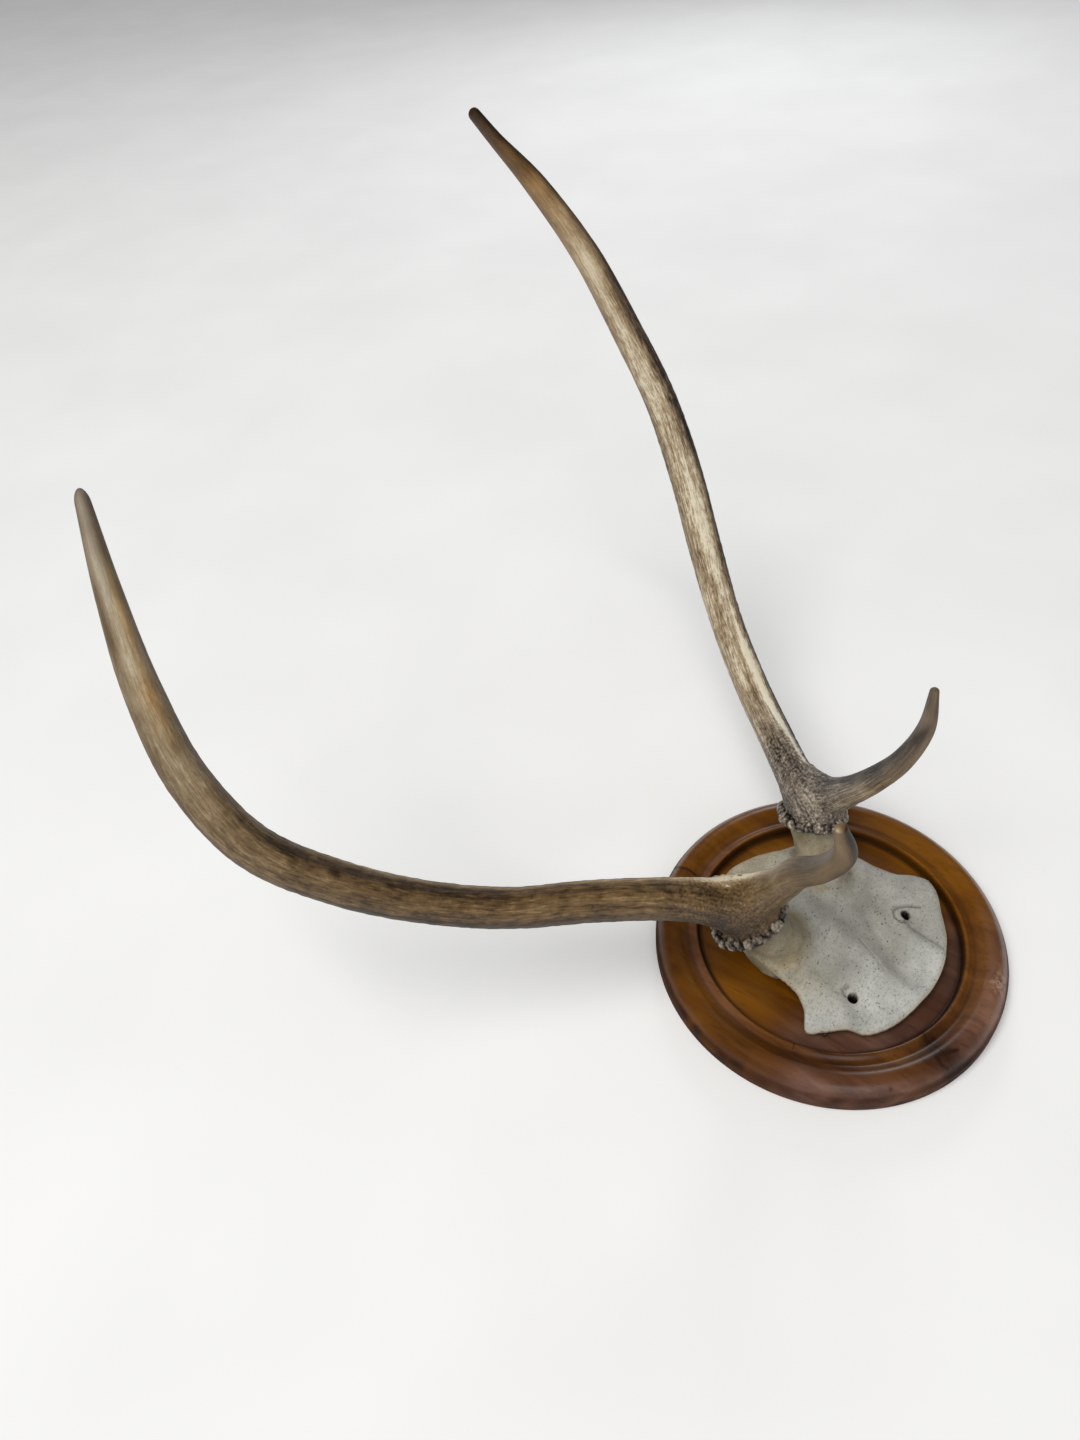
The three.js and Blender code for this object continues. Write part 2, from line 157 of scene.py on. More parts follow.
# Lengthwise patches where the skin is paler (positive) or darker (negative) than its ground, partly its
# own staining and rubbing and partly painted light and shade. Each row is: millimetres from the foot, the
# direction it faces (x, y, z), half width in radians, strength.
RIGHT_BEAM_SHADES = [
    # the bare rubbed crest, with a painted highlight along it, which spreads over the front and fades
    # towards the tip
    [[14, 0.42, -0.36, 0.83, 0.22, 0.25], [21, 0.42, -0.36, 0.83, 0.26, 0.64],
     [28, 0.42, -0.38, 0.82, 0.25, 0.70], [34, 0.36, -0.44, 0.82, 0.21, 0.68],
     [42, 0.29, -0.43, 0.85, 0.21, 0.66], [54, 0.24, -0.37, 0.90, 0.20, 0.62],
     [68, 0.15, -0.25, 0.96, 0.21, 0.56], [80, 0.08, -0.17, 0.98, 0.22, 0.54],
     [111, 0.06, -0.32, 0.94, 0.25, 0.46],
     [133, -0.04, -0.30, 0.95, 0.28, 0.40], [166, -0.17, -0.42, 0.89, 0.34, 0.36],
     [204, -0.32, -0.52, 0.79, 0.50, 0.28],
     [245, -0.67, -0.35, 0.65, 0.75, 0.24], [286, -0.82, -0.32, 0.45, 0.75, 0.26],
     [327, -0.91, -0.36, 0.20, 0.55, 0.30], [368, -0.92, -0.38, 0.08, 0.50, 0.32],
     [408, -0.88, -0.45, 0.00, 0.50, 0.28], [449, -0.75, -0.64, 0.10, 0.60, 0.18],
     [500, -0.75, -0.64, 0.10, 0.60, 0.0]],
    # the side turned from the light: darker brown, with painted shade
    [[20, 0.82, -0.52, 0.15, 0.28, -0.30], [36, 0.70, -0.65, 0.30, 0.38, -0.75],
     [80, 0.68, -0.63, 0.36, 0.48, -0.80], [123, 0.66, -0.68, 0.31, 0.48, -0.80],
     [166, 0.64, -0.71, 0.27, 0.46, -0.75], [204, 0.61, -0.75, 0.23, 0.48, -0.66],
     [250, 0.62, -0.73, 0.25, 0.62, -0.58], [286, 0.63, -0.72, 0.27, 0.82, -0.48],
     [368, 0.66, -0.63, 0.40, 0.98, -0.48], [408, 0.66, -0.60, 0.46, 0.85, -0.45],
     [449, 0.65, -0.54, 0.52, 0.60, -0.40], [490, 0.65, -0.52, 0.55, 0.60, -0.50],
     [531, 0.65, -0.50, 0.57, 0.80, -0.45]],
    # bark stain left in the hollow beside the crest
    [[36, -0.45, 0.20, 0.87, 0.34, 0.0], [50, -0.42, 0.20, 0.88, 0.32, -0.13],
     [82, -0.34, 0.14, 0.93, 0.28, -0.12], [123, -0.42, 0.06, 0.90, 0.26, -0.07],
     [175, -0.55, -0.10, 0.83, 0.30, -0.06], [230, -0.60, -0.25, 0.75, 0.38, 0.0]],
    # the whole shaft is a little paler, and its very tip dark
    all_round((36, 0.02), (60, 0.13), (90, 0.19), (140, 0.20), (180, 0.12), (300, 0.06), (440, 0.09),
              (475, 0.05), (505, -0.19), (531, -0.26)),
]
LEFT_BEAM_SHADES = [
    [[6, 0.48, -0.35, 0.68, 0.30, 0.0], [14, 0.64, -0.05, 0.76, 0.32, 0.50],
     [25, 0.60, 0.10, 0.79, 0.38, 1.05], [34, 0.57, 0.20, 0.79, 0.32, 0.72],
     [46, 0.57, 0.28, 0.77, 0.30, 0.46], [70, 0.54, 0.22, 0.82, 0.27, 0.36],
     [146, 0.58, 0.22, 0.78, 0.24, 0.30], [218, 0.72, 0.02, 0.69, 0.22, 0.28],
     [291, 0.87, -0.27, 0.40, 0.20, 0.0]],
    [[30, 0.08, -0.43, 0.90, 0.35, 0.0], [60, 0.10, -0.25, 0.95, 0.45, -0.10],
     [109, 0.10, -0.10, 0.98, 0.45, -0.06], [146, 0.18, -0.18, 0.96, 0.45, -0.11],
     [218, 0.31, -0.40, 0.84, 0.50, -0.16], [255, 0.35, -0.50, 0.76, 0.50, -0.15],
     [291, 0.35, -0.70, 0.60, 0.40, -0.08], [328, 0.35, -0.75, 0.50, 0.36, 0.0]],
    all_round((30, 0.0), (60, -0.06), (110, -0.09), (200, -0.10), (270, -0.05), (340, -0.03), (400, 0.04),
              (450, 0.04), (473, -0.02)),
    # painted light: the side facing up towards the light, paler
    [[40, -0.30, -0.50, 0.80, 0.45, 0.0], [100, -0.33, -0.50, 0.80, 0.42, 0.12],
     [218, -0.30, -0.72, 0.60, 0.42, 0.10], [291, -0.21, -0.81, 0.55, 0.50, 0.16],
     [328, -0.36, -0.78, 0.49, 0.60, 0.17], [364, -0.40, -0.76, 0.50, 0.60, 0.20],
     [400, -0.36, -0.69, 0.60, 0.60, 0.21], [437, -0.50, -0.55, 0.66, 0.60, 0.22],
     [473, -0.58, -0.47, 0.67, 0.70, 0.20]],
    # painted shade on the underside
    [[36, -0.66, -0.50, -0.55, 0.80, -0.15], [146, -0.70, -0.47, -0.54, 0.85, -0.26],
     [218, -0.82, -0.29, -0.48, 0.80, -0.26], [291, -0.96, 0.06, -0.26, 0.60, -0.14],
     [473, -0.90, 0.20, 0.10, 0.50, -0.08]],
    # painted shade on the side turned from the light, up the rise
    [[280, 0.96, -0.10, 0.20, 0.40, 0.0], [328, 0.96, -0.24, 0.10, 0.50, -0.22],
     [400, 0.90, -0.43, -0.12, 0.50, -0.34], [473, 0.88, -0.46, -0.17, 0.55, -0.38]],
    # a greyish bruise on the outer side, low on the rise
    [[385, -0.80, -0.12, 0.55, 0.42, 0.0], [403, -0.80, -0.12, 0.55, 0.42, -0.18],
     [422, -0.82, -0.10, 0.55, 0.42, -0.12], [440, -0.82, -0.10, 0.55, 0.42, 0.0]],
    # the two amber glows are paler too
    [[350, -0.06, -0.86, 0.52, 0.36, 0.0], [376, -0.06, -0.85, 0.52, 0.36, 0.12],
     [396, 0.00, -0.85, 0.52, 0.30, 0.0], [415, 0.10, -0.84, 0.53, 0.36, 0.12],
     [436, 0.20, -0.84, 0.50, 0.30, 0.0]],
]
RIGHT_TINE_SHADES = [
    # the beam's rubbed crest and its painted highlight run on over the web
    [[0, 0.44, -0.36, 0.82, 0.26, 0.60], [12, 0.44, -0.34, 0.83, 0.26, 0.60],
     [22, 0.40, -0.30, 0.86, 0.24, 0.0]],
    # a painted highlight along the lower edge
    [[30, -0.90, -0.35, -0.37, 0.50, 0.0], [54, -0.88, -0.40, -0.33, 0.50, 0.16],
     [100, -0.60, -0.75, -0.15, 0.45, 0.16], [135, -0.60, -0.75, 0.0, 0.60, 0.10]],
    [[20, -0.10, 0.85, 0.55, 0.60, -0.14], [81, -0.36, 0.86, 0.37, 0.60, -0.16],
     [135, -0.35, -0.93, 0.09, 0.40, -0.12]],
    all_round((20, 0.0), (50, -0.09), (100, -0.15), (135, -0.20)),
]
LEFT_TINE_SHADES = [
    [[0, 0.20, 0.60, 0.77, 0.36, 0.70], [10, 0.26, 0.67, 0.70, 0.34, 0.72],
     [22, 0.26, 0.73, 0.63, 0.33, 0.50], [35, 0.24, 0.77, 0.60, 0.32, 0.32],
     [60, 0.0, 0.88, 0.48, 0.34, 0.08], [80, 0.0, 0.80, 0.60, 0.40, 0.0]],
    # the beam's rubbed top edge runs on over the web
    [[0, 0.60, 0.10, 0.79, 0.38, 1.00], [12, 0.56, 0.22, 0.79, 0.36, 0.80],
     [26, 0.50, 0.40, 0.77, 0.30, 0.0]],
    all_round((20, 0.0), (60, -0.07), (134, -0.10)),
    # painted shade on the side turned from the light, darkest at the tip
    [[60, -0.73, -0.58, -0.36, 0.50, -0.10], [104, -0.30, -0.92, -0.24, 0.50, -0.20],
     [120, -0.10, -0.97, 0.05, 0.60, -0.40], [134, 0.05, -0.90, 0.43, 0.70, -0.50]],
    # a painted highlight on the tip's side that faces the light
    [[110, -0.80, 0.35, 0.30, 0.30, 0.0], [124, -0.85, 0.30, 0.40, 0.45, 0.26],
     [134, -0.75, 0.20, 0.60, 0.50, 0.34]],
]
# Patches stained amber (positive, 1 wholly) or greyed (negative, -1 wholly), in the same rows.
RIGHT_BEAM_WARMTH = [
    all_round((0, -0.75), (45, -0.55), (90, 0.0)),
    [[300, -0.70, -0.60, 0.20, 2.0, 0.10], [440, -0.69, -0.71, 0.13, 2.0, 0.45],
     [480, -0.65, -0.74, 0.12, 2.5, 0.90], [531, -0.65, -0.76, 0.07, 3.0, 1.00]],
]
LEFT_BEAM_WARMTH = [
    all_round((0, 0.20), (60, 0.30), (150, 0.36), (260, 0.20), (330, -0.05), (400, -0.15), (435, -0.35),
              (473, -0.55)),
    [[345, -0.05, -0.86, 0.50, 0.40, 0.15], [376, -0.06, -0.85, 0.52, 0.42, 0.95],
     [394, 0.00, -0.85, 0.52, 0.32, 0.50], [415, 0.14, -0.84, 0.53, 0.38, 1.00],
     [438, 0.28, -0.84, 0.48, 0.30, 0.35], [473, 0.30, -0.82, 0.46, 0.30, 0.0]],
]
RIGHT_TINE_WARMTH = [
    all_round((0, -0.60), (50, -0.40), (135, -0.15)),
    [[20, -0.10, 0.85, 0.55, 0.80, -0.40], [135, -0.30, 0.90, 0.30, 0.80, -0.40]],
    # the painted highlight on the lower edge, amber
    [[26, -0.90, -0.35, -0.37, 0.45, 0.0], [54, -0.88, -0.40, -0.33, 0.50, 0.70],
     [100, -0.60, -0.75, -0.15, 0.50, 0.60], [135, -0.60, -0.75, 0.0, 0.60, 0.35]],
]
LEFT_TINE_WARMTH = [
    all_round((0, 0.15), (60, 0.05), (134, 0.0)),
    [[50, -0.30, 0.85, 0.40, 0.60, 0.0], [80, -0.35, 0.85, 0.40, 0.60, -0.70],
     [112, -0.40, 0.80, 0.35, 0.55, -0.70], [124, -0.40, 0.80, 0.35, 0.40, 0.0]],
    [[80, -0.40, -0.88, -0.24, 0.5, 0.0], [112, -0.10, -0.97, 0.0, 0.6, 0.60],
     [134, 0.10, -0.90, 0.43, 0.7, 0.90]],
]


# ---------- curves and fields ----------
def smooth_through(stations, share, closed=False):
    """Points at the given shares of a curve through the stations: on each span a cubic whose end
    slopes come from the neighbouring stations, each weighted by the square root of its distance."""
    count = len(stations)
    if closed:
        place = (share % 1.0) * count
        span = np.floor(place).astype(int) % count
        corners = [stations[(span + k) % count] for k in (-1, 0, 1, 2)]
    else:
        place = np.clip(share, 0, 1) * (count - 1)
        span = np.minimum(place.astype(int), count - 2)
        ends = (2 * stations[0] - stations[1], 2 * stations[-1] - stations[-2])
        longer = np.vstack([ends[0], stations, ends[1]])
        corners = [longer[span + k] for k in range(4)]
    part = (place - np.floor(place) if closed else place - span)[..., None]
    a, b, c, d = corners
    gaps = [np.sum((q - p) ** 2, axis=-1, keepdims=True) ** 0.25 for p, q in ((a, b), (b, c), (c, d))]
    middle = np.where(gaps[1] < 1e-4, 1.0, gaps[1])
    first = np.where(gaps[0] < 1e-4, middle, gaps[0])
    last = np.where(gaps[2] < 1e-4, middle, gaps[2])
    leaving = ((b - a) / first - (c - a) / (first + middle) + (c - b) / middle) * middle
    arriving = ((c - b) / middle - (d - b) / (middle + last) + (d - c) / last) * middle
    return (b + leaving * part + (3 * (c - b) - 2 * leaving - arriving) * part ** 2
            + (2 * (b - c) + leaving + arriving) * part ** 3)


def fade(value, low, high):
    """0 below low, 1 above high, and the cubic 3t^2 - 2t^3 between them."""
    t = np.clip((value - low) / (high - low), 0, 1)
    return t * t * (3 - 2 * t)


def bump(distance, width):
    """Bell curve: e to the power of minus (distance / width) squared."""
    return np.exp(-(distance / width) ** 2)


def unit(vectors):
    """Vectors divided by their lengths."""
    return vectors / np.maximum(np.linalg.norm(vectors, axis=-1, keepdims=True), 1e-9)


def ripples(points, size, seed, count=22):
    """Smooth unevenness of about -1 to 1: the sum of plane waves of about that wavelength in
    millimetres, spread over random directions and phases."""
    dice = np.random.default_rng(seed)
    way = unit(dice.normal(size=(count, 3)))
    pitch = TURN / (size * dice.uniform(0.7, 1.5, count))
    phase = dice.uniform(0, TURN, count)
    flat = points.reshape(-1, 3) @ (way * pitch[:, None]).T + phase
    return (np.cos(flat).sum(1) / np.sqrt(count)).reshape(points.shape[:-1])


def chain_distance(points, centres, radii):
    """Distance from each point to a row of balls: the least of |point - centre| - radius."""
    best = np.full(points.shape[:-1], 1e9)
    for centre, radius in zip(centres, radii):
        away = points - centre
        best = np.minimum(best, np.sqrt(np.sum(away * away, axis=-1)) - radius)
    return best


def soft_union(one, other, width):
    """Least of two distances with the corner between them filled by a round of that width."""
    lean = np.clip(0.5 + 0.5 * (other - one) / width, 0, 1)
    return other * (1 - lean) + one * lean - width * lean * (1 - lean)


def settle(start, ray, low, high, field, steps=16):
    """How far along each ray the field turns from inside (negative) to outside, by halving."""
    for _ in range(steps):
        middle = (low + high) / 2
        inside = field(start + ray * middle[..., None]) < 0
        low = np.where(inside, middle, low)
        high = np.where(inside, high, middle)
    return high


def grid_normals(points):
    """Unit normals of a grid closed in its second direction: around x along."""
    around = np.roll(points, -1, axis=1) - np.roll(points, 1, axis=1)
    return unit(np.cross(around, np.gradient(points, axis=0)))


# ---------- meshes ----------
def grid_shell(points, feet, **marks):
    """A closed shell over a grid: row by column points, joined round each row, with a fan over the
    first and the last row. feet holds the two fan centres. marks are values for each grid point."""
    rows, columns = points.shape[:2]
    index = np.arange(rows * columns).reshape(rows, columns)
    onward = np.roll(index, -1, axis=1)
    quads = np.stack([index[:-1], onward[:-1], onward[1:], index[1:]], axis=-1).reshape(-1, 4)
    low, high = rows * columns, rows * columns + 1
    foot = np.stack([np.full(columns, low), onward[0], index[0]], axis=-1)
    head = np.stack([np.full(columns, high), index[-1], onward[-1]], axis=-1)
    verts = np.vstack([points.reshape(-1, 3), np.array(feet, float)])
    values = {}
    for name, mark in marks.items():
        flat = mark.reshape(rows * columns, -1)
        ends = np.stack([mark[0].reshape(columns, -1).mean(0), mark[-1].reshape(columns, -1).mean(0)])
        values[name] = np.vstack([flat, ends])
    return {"verts": verts, "quads": quads, "fans": np.vstack([foot, head]), "marks": values}


def make_piece(name, shells, finish, nodes):
    """Joins shells into one mesh object in metres, with their marks as point attributes."""
    verts, faces, start = [], [], 0
    for shell in shells:
        verts.append(shell["verts"])
        faces += (shell["quads"] + start).tolist() + (shell["fans"] + start).tolist()
        start += len(shell["verts"])
    mesh = bpy.data.meshes.new(name)
    mesh.from_pydata(np.vstack(verts) * MM, [], faces)
    for mark in shells[0]["marks"]:
        values = np.vstack([shell["marks"][mark] for shell in shells])
        kind, field = ("FLOAT_VECTOR", "vector") if values.shape[1] == 3 else ("FLOAT", "value")
        layer = mesh.attributes.new(mark, kind, "POINT")
        layer.data.foreach_set(field, values.ravel().astype(np.float32))
    mesh.shade_smooth()
    mesh.materials.append(finish)
    piece = bpy.data.objects.new(name, mesh)
    bpy.context.scene.collection.objects.link(piece)
    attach(piece, "root")
    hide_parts(*nodes)
    return piece


# ---------- grown limbs ----------
def limb_rows(stations, spacing):
    """Shares of the rows of a limb, evenly spaced in millimetres, then closer over the rounded tip,
    and the factor that rounds the tip: the cosine of an angle that runs to a quarter turn."""
    dome_rows = 12
    fine = np.linspace(0, 1 - TIP_SHARE, 1500)
    steps = np.linalg.norm(np.diff(smooth_through(stations[:, :3], fine), axis=0), axis=1)
    length = np.concatenate([[0], np.cumsum(steps)])
    body = np.interp(np.arange(0, length[-1], spacing), length, fine)
    angle = np.linspace(0, np.pi / 2, dome_rows + 1)[:-1]
    dome = 1 - TIP_SHARE + TIP_SHARE * np.sin(angle)
    share = np.concatenate([body, dome])
    return share, np.concatenate([np.ones(len(body)), np.cos(angle)])


def limb_axes(stations, share, outward, foot_axis=None):
    """Centre, forward, out and up at each share. out is the outward direction less its part along
    the limb, up = forward x out, and at a foot with an axis the section turns to face that axis."""
    nudge = 1e-4
    centre = smooth_through(stations[:, :3], share)
    ahead = smooth_through(stations[:, :3], np.minimum(share + nudge, 1))
    behind = smooth_through(stations[:, :3], np.maximum(share - nudge, 0))
    forward = unit(ahead - behind)
    if foot_axis is not None:
        weight = 1 - fade(share, 0, BURR_SHARE)[:, None]
        forward = unit(forward * (1 - weight) + foot_axis * weight)
    out = unit(outward - forward * (forward @ outward)[:, None])
    return centre, forward, out, np.cross(forward, out)


def ball_row(stations, first, last, count, scale=1.0):
    """Centres and radii of balls strung along part of a limb."""
    share = np.linspace(first, last, count)
    return smooth_through(stations[:, :3], share), smooth_through(stations[:, 3:], share)[:, 0] * scale


def limb_grid(stations, spacing, sides, outward, foot_axis, reach, fork):
    """A limb's grid: centre + (out cos a + up sin a) x distance. The distance is the stations' radius
    x SLIM, and up to `reach` millimetres from the foot it runs to where the soft union of this limb
    and its neighbour ends (fork: the neighbour's field and the width of the round). Gives points,
    angles, lengths and how much further the neighbour's skin is than its own."""
    share, rounding = limb_rows(stations, spacing)
    centre, _, out, up = limb_axes(stations, share, outward, foot_axis)
    radius = smooth_through(stations[:, 3:], share)[:, 0] * SLIM
    angle = np.arange(sides) / sides * TURN
    ray = out[:, None] * np.cos(angle)[:, None] + up[:, None] * np.sin(angle)[:, None]
    far = (radius * rounding)[:, None] * np.ones(sides)
    steps = np.linalg.norm(np.diff(centre, axis=0), axis=1)
    along = np.concatenate([[0], np.cumsum(steps)])
    apart = np.full(far.shape, 99.0)
    near = along < reach
    own = ball_row(stations, 0, float(share[near][-1]) + 0.05, 140, SLIM)
    other, width = fork
    start = np.repeat(centre[near][:, None], sides, axis=1)
    met = settle(start, ray[near], far[near] * 0.3, far[near] + LIMB_CAP,
                 lambda p: blended(p, own, other, width))
    weight = fade(along[near], reach * 0.75, reach)[:, None]
    far[near] = met * (1 - weight) + far[near] * weight
    there = start + ray[near] * far[near][..., None]
    apart[near] = other(there) - chain_distance(there, *own)
    points = centre[:, None] + ray * far[..., None]
    return points, angle[None] * np.ones(far.shape), along[:, None] * np.ones(far.shape), apart


def blended(points, own, other, width):
    """Soft union of a limb's own balls and its neighbour's field, sunk by a hair where the
    neighbour is nearer, so that one of two touching skins always lies on top."""
    mine = chain_distance(points, *own)
    theirs = other(points)
    return soft_union(mine, theirs, width) + 0.12 * np.clip((mine - theirs) / 1.5, 0, 1)


def furrows(angle, along, seed):
    """Lengthwise furrows in millimetres: narrow valleys of several pitches round the limb, whose
    places wander slowly and whose depths come and go along it."""
    dice = np.random.default_rng(seed)
    total = np.zeros(angle.shape)
    for count, depth, width in FURROWS:
        a, b, c, d = dice.uniform(0, TURN, 4)
        wander = 0.30 * np.sin(along / 71 + a) + 0.16 * np.sin(along / 29 + b)
        strength = 0.55 + 0.45 * np.sin(along / 43 + 2 * angle + c) * np.cos(along / 97 - angle + d)
        total -= depth * strength * bump(np.sin(count * (angle + wander) / 2 + a * count), width)
    return total


def painted(normals, along, patches):
    """Sum of lengthwise patches: strength x bell(angle off the patch's direction / half width), with
    direction, half width and strength read in straight lines between each patch's rows."""
    total = np.zeros(along.shape)
    for patch in patches:
        rows = np.array(patch, float)
        x, y, z, width, strength = (
            np.interp(along[:, 0], rows[:, 0], column)[:, None] for column in rows.T[1:])
        facing = normals[..., 0] * x + normals[..., 1] * y + normals[..., 2] * z
        facing = facing / np.sqrt(x * x + y * y + z * z)
        total += strength * bump(np.arccos(np.clip(facing, -1, 1)), width)
    return total


def antler_limb(grid, seed, depth, shades, stains, worn, bases):
    """Cuts the furrows into a limb's grid along its normals, shallower by the fork and where it is
    worn, and gives the shell with its marks: grain (place round the section and length), tone (0
    dark to 1 pale, with the patches' painted light and shade), warmth, worn (smooth and polished) and
    burr (nearness to the burr)."""
    points, angle, along, apart = grid
    smooth = grid_normals(points)
    polish = fade(along / along[-1, 0], *worn)
    quiet = fade(apart, 1.0, 9.0) * (1 - 0.8 * polish)
    cut = depth * furrows(angle, along, seed) * quiet
    cut += 0.10 * ripples(points, 5.5, seed + 1) * depth * (1 - polish)
    points = points + smooth * cut[..., None]
    burr_side = 1 - fade(np.min([np.linalg.norm(points - base, axis=-1) for base in bases], axis=0), 15, 48)
    blotches = 0.05 * ripples(points, 46, 5) + 0.04 * ripples(points, 15, 6)
    tone = 0.5 + blotches + painted(smooth, along, shades)
    tone += 0.17 * np.clip(cut / 0.6, -1, 0.3) * quiet - 0.10 * burr_side
    grain = np.stack([12 * np.cos(angle), 12 * np.sin(angle), along], axis=-1)
    warmth = np.clip(painted(smooth, along, stains), -1, 1)
    return grid_shell(points, [points[0].mean(0), points[-1].mean(0)], grain=grain, tone=tone,
                      warmth=warmth, worn=polish, burr=burr_side)


def burr_ring(stations, burr_axis, hand, seed):
    """The burr: a thick ring round the beam's foot, its rounded rim set with pearls. The ring's
    section is an oval carried round a slightly long circle, and each pearl lifts the skin by the
    height of a ball, size x root(1 - (distance / size)^2), where that is more than its neighbours'."""
    dice = np.random.default_rng(seed)
    around, across = 520, 44
    proud, half_width, half_height, stand = 3.2, 4.2, 3.6, 1.2
    _, forward, out, up = limb_axes(stations, np.array([0.0]), np.array([hand, 0.0, 0.0]), burr_axis)
    forward, out, up = forward[0], out[0], up[0]
    foot = stations[0, :3]
    turn = np.arange(around)[None, :] / around * TURN
    section = np.arange(across)[:, None] / (across - 1) * 1.52 * np.pi - 0.86 * np.pi

    def place(turn, section, lift=0.0):
        oval = 1 + 0.055 * np.cos(2 * (hand * turn - BURR_LEAN))
        uneven = 0.5 * np.sin(3 * turn + seed) + 0.35 * np.sin(7 * turn + 2 * seed)
        rim = stations[0, 3] * oval + proud + uneven
        reach = rim - half_width + (half_width + lift) * np.cos(section)
        height = stand + (half_height + lift) * np.sin(section)
        direction = out * np.cos(turn)[..., None] + up * np.sin(turn)[..., None]
        return foot + direction * reach[..., None] + forward * (height * np.ones_like(reach))[..., None]

    ground = place(turn, section)
    normals = unit(place(turn, section, 1.0) - ground)
    lift = np.zeros(ground.shape[:2])
    for level, count, size in PEARL_ROWS:
        spots = (np.arange(count) + dice.uniform(-0.3, 0.3, count)) / count * TURN
        levels = (level + dice.uniform(-0.09, 0.09, count)) * np.pi
        sizes = size * dice.uniform(0.6, 1.25, count)
        centres = place(spots, levels)
        for centre, ball in zip(centres, sizes):
            away = ground - centre
            apart = np.sqrt(np.maximum(np.sum(away * away, axis=-1) - 0.5 * (away @ forward) ** 2, 0))
            lift = np.maximum(lift, ball * 0.85 * np.sqrt(np.clip(1 - (apart / ball) ** 2, 0, 1)))
    lift += 0.12 * ripples(ground, 1.6, seed + 3)
    points = ground + normals * (lift - 0.9)[..., None]
    # painted shade: the crevices between the pearls are near-black; the pearls' tops are pale, worn and
    # with a painted highlight
    tone = -0.24 + 0.76 * fade(lift, 0.5, 2.5)
    local = ground - foot
    grain = np.stack([local @ out, local @ up, local @ forward * 0.4], axis=-1)
    middle = foot + forward * 1.0
    whole = np.ones(lift.shape)
    return grid_shell(points, [middle - forward * 2, middle + forward], grain=grain, tone=tone,
                      warmth=-0.60 * whole, worn=0 * whole, burr=1.5 * whole)


def lower_pearls(grid, stations, seed, count):
    """Small pearls scattered over the lowest part of a beam, thinning out upwards: each lifts the
    skin like a flattened ball."""
    points, angle, along, apart = grid
    dice = np.random.default_rng(seed)
    low = along[:, 0] < 42  # millimetres
    patch = points[low]
    normals = grid_normals(points)[low]
    lift = np.zeros(patch.shape[:2])
    rows = np.minimum((dice.uniform(0.05, 1, count) ** 1.7 * low.sum()).astype(int), low.sum() - 1)
    columns = dice.integers(0, points.shape[1], count)
    sizes = dice.uniform(0.9, 2.1, count) * (1 - 0.4 * rows / low.sum())
    for row, column, size in zip(rows, columns, sizes):
        away = np.linalg.norm(patch - patch[row, column], axis=-1)
        lift = np.maximum(lift, 0.45 * size * np.sqrt(np.clip(1 - (away / size) ** 2, 0, 1)))
    points = points.copy()
    points[low] = patch + normals * lift[..., None]
    return points, angle, along, apart


def antler_shells(beam, tine, burr_axis, hand, seed, look):
    """A whole antler: beam and brow tine grown into each other at the fork, and the burr."""
    outward = np.array([hand, 0.0, 0.0])
    settings = bpy.context.scene.antler_sizes
    fork_round = settings.fork_round / MM
    depth = settings.furrow_depth / (0.4 * MM)
    tine_balls = ball_row(tine, 0.02, 0.6, 110, SLIM)
    beam_balls = ball_row(beam, 0.0, 0.45, 170, SLIM)
    beam_fork = (lambda p: chain_distance(p, *tine_balls), fork_round)
    tine_fork = (lambda p: chain_distance(p, *beam_balls), fork_round)
    points, angle, along, apart = limb_grid(beam, 1.1, 120, outward, burr_axis, 100, beam_fork)
    flare = 3.2 * bump(along, 6.0) + 1.0 * bump(along, 12.0) * np.cos(2 * (hand * angle - BURR_LEAN))
    points = points + grid_normals(points) * flare[..., None]
    trunk = lower_pearls((points, angle, along, apart), beam, seed + 9, look["pearls"])
    branch = limb_grid(tine, 0.9, 96, outward, None, 62, tine_fork)
    bases = [beam[0, :3], beam[2, :3]]
    return [
        antler_limb(trunk, seed, depth, look["beam"], look["beam warmth"], (0.55, 1.0), bases),
        antler_limb(branch, seed + 20, depth * 0.6, look["tine"], look["tine warmth"], (0.1, 0.8), bases),
        burr_ring(beam, burr_axis, hand, seed + 40),
    ]


# ---------- skull plate ----------
def groove(x, y, way, width, depth):
    """A groove along a broken line in plan: -depth x bell(distance to the line / width)."""
    nearest = np.full(np.shape(x), 1e9)
    for (x0, y0), (x1, y1) in zip(way[:-1], way[1:]):
        dx, dy = x1 - x0, y1 - y0
        t = np.clip(((x - x0) * dx + (y - y0) * dy) / (dx * dx + dy * dy), 0, 1)
        nearest = np.minimum(nearest, np.hypot(x - x0 - t * dx, y - y0 - t * dy))
    return -depth * bump(nearest, width)


def bone_top(x, y):
    """Height of the bone's outer face over the plan: a bulging forehead that falls to the sides, a
    midline ridge, raised brow edges and the valleys."""
    midline = x + 4 - 0.18 * y
    forehead = 16 * bump(y - 20, 60)
    aside = np.minimum(1, np.abs(x) / 66)
    fall = 1 - 0.42 * aside ** 2 - 0.45 * aside ** 6
    front = 1 / (1 + np.exp((y - 14) / 9))
    ridge = 2.6 * front * bump(midline, 7)
    brow = 1.2 * front * (bump(x - 54, 10) + bump(x + 52, 10))
    return 17 + 0.02 * x + forehead * fall + ridge + brow + sum(groove(x, y, *valley) for valley in VALLEYS)


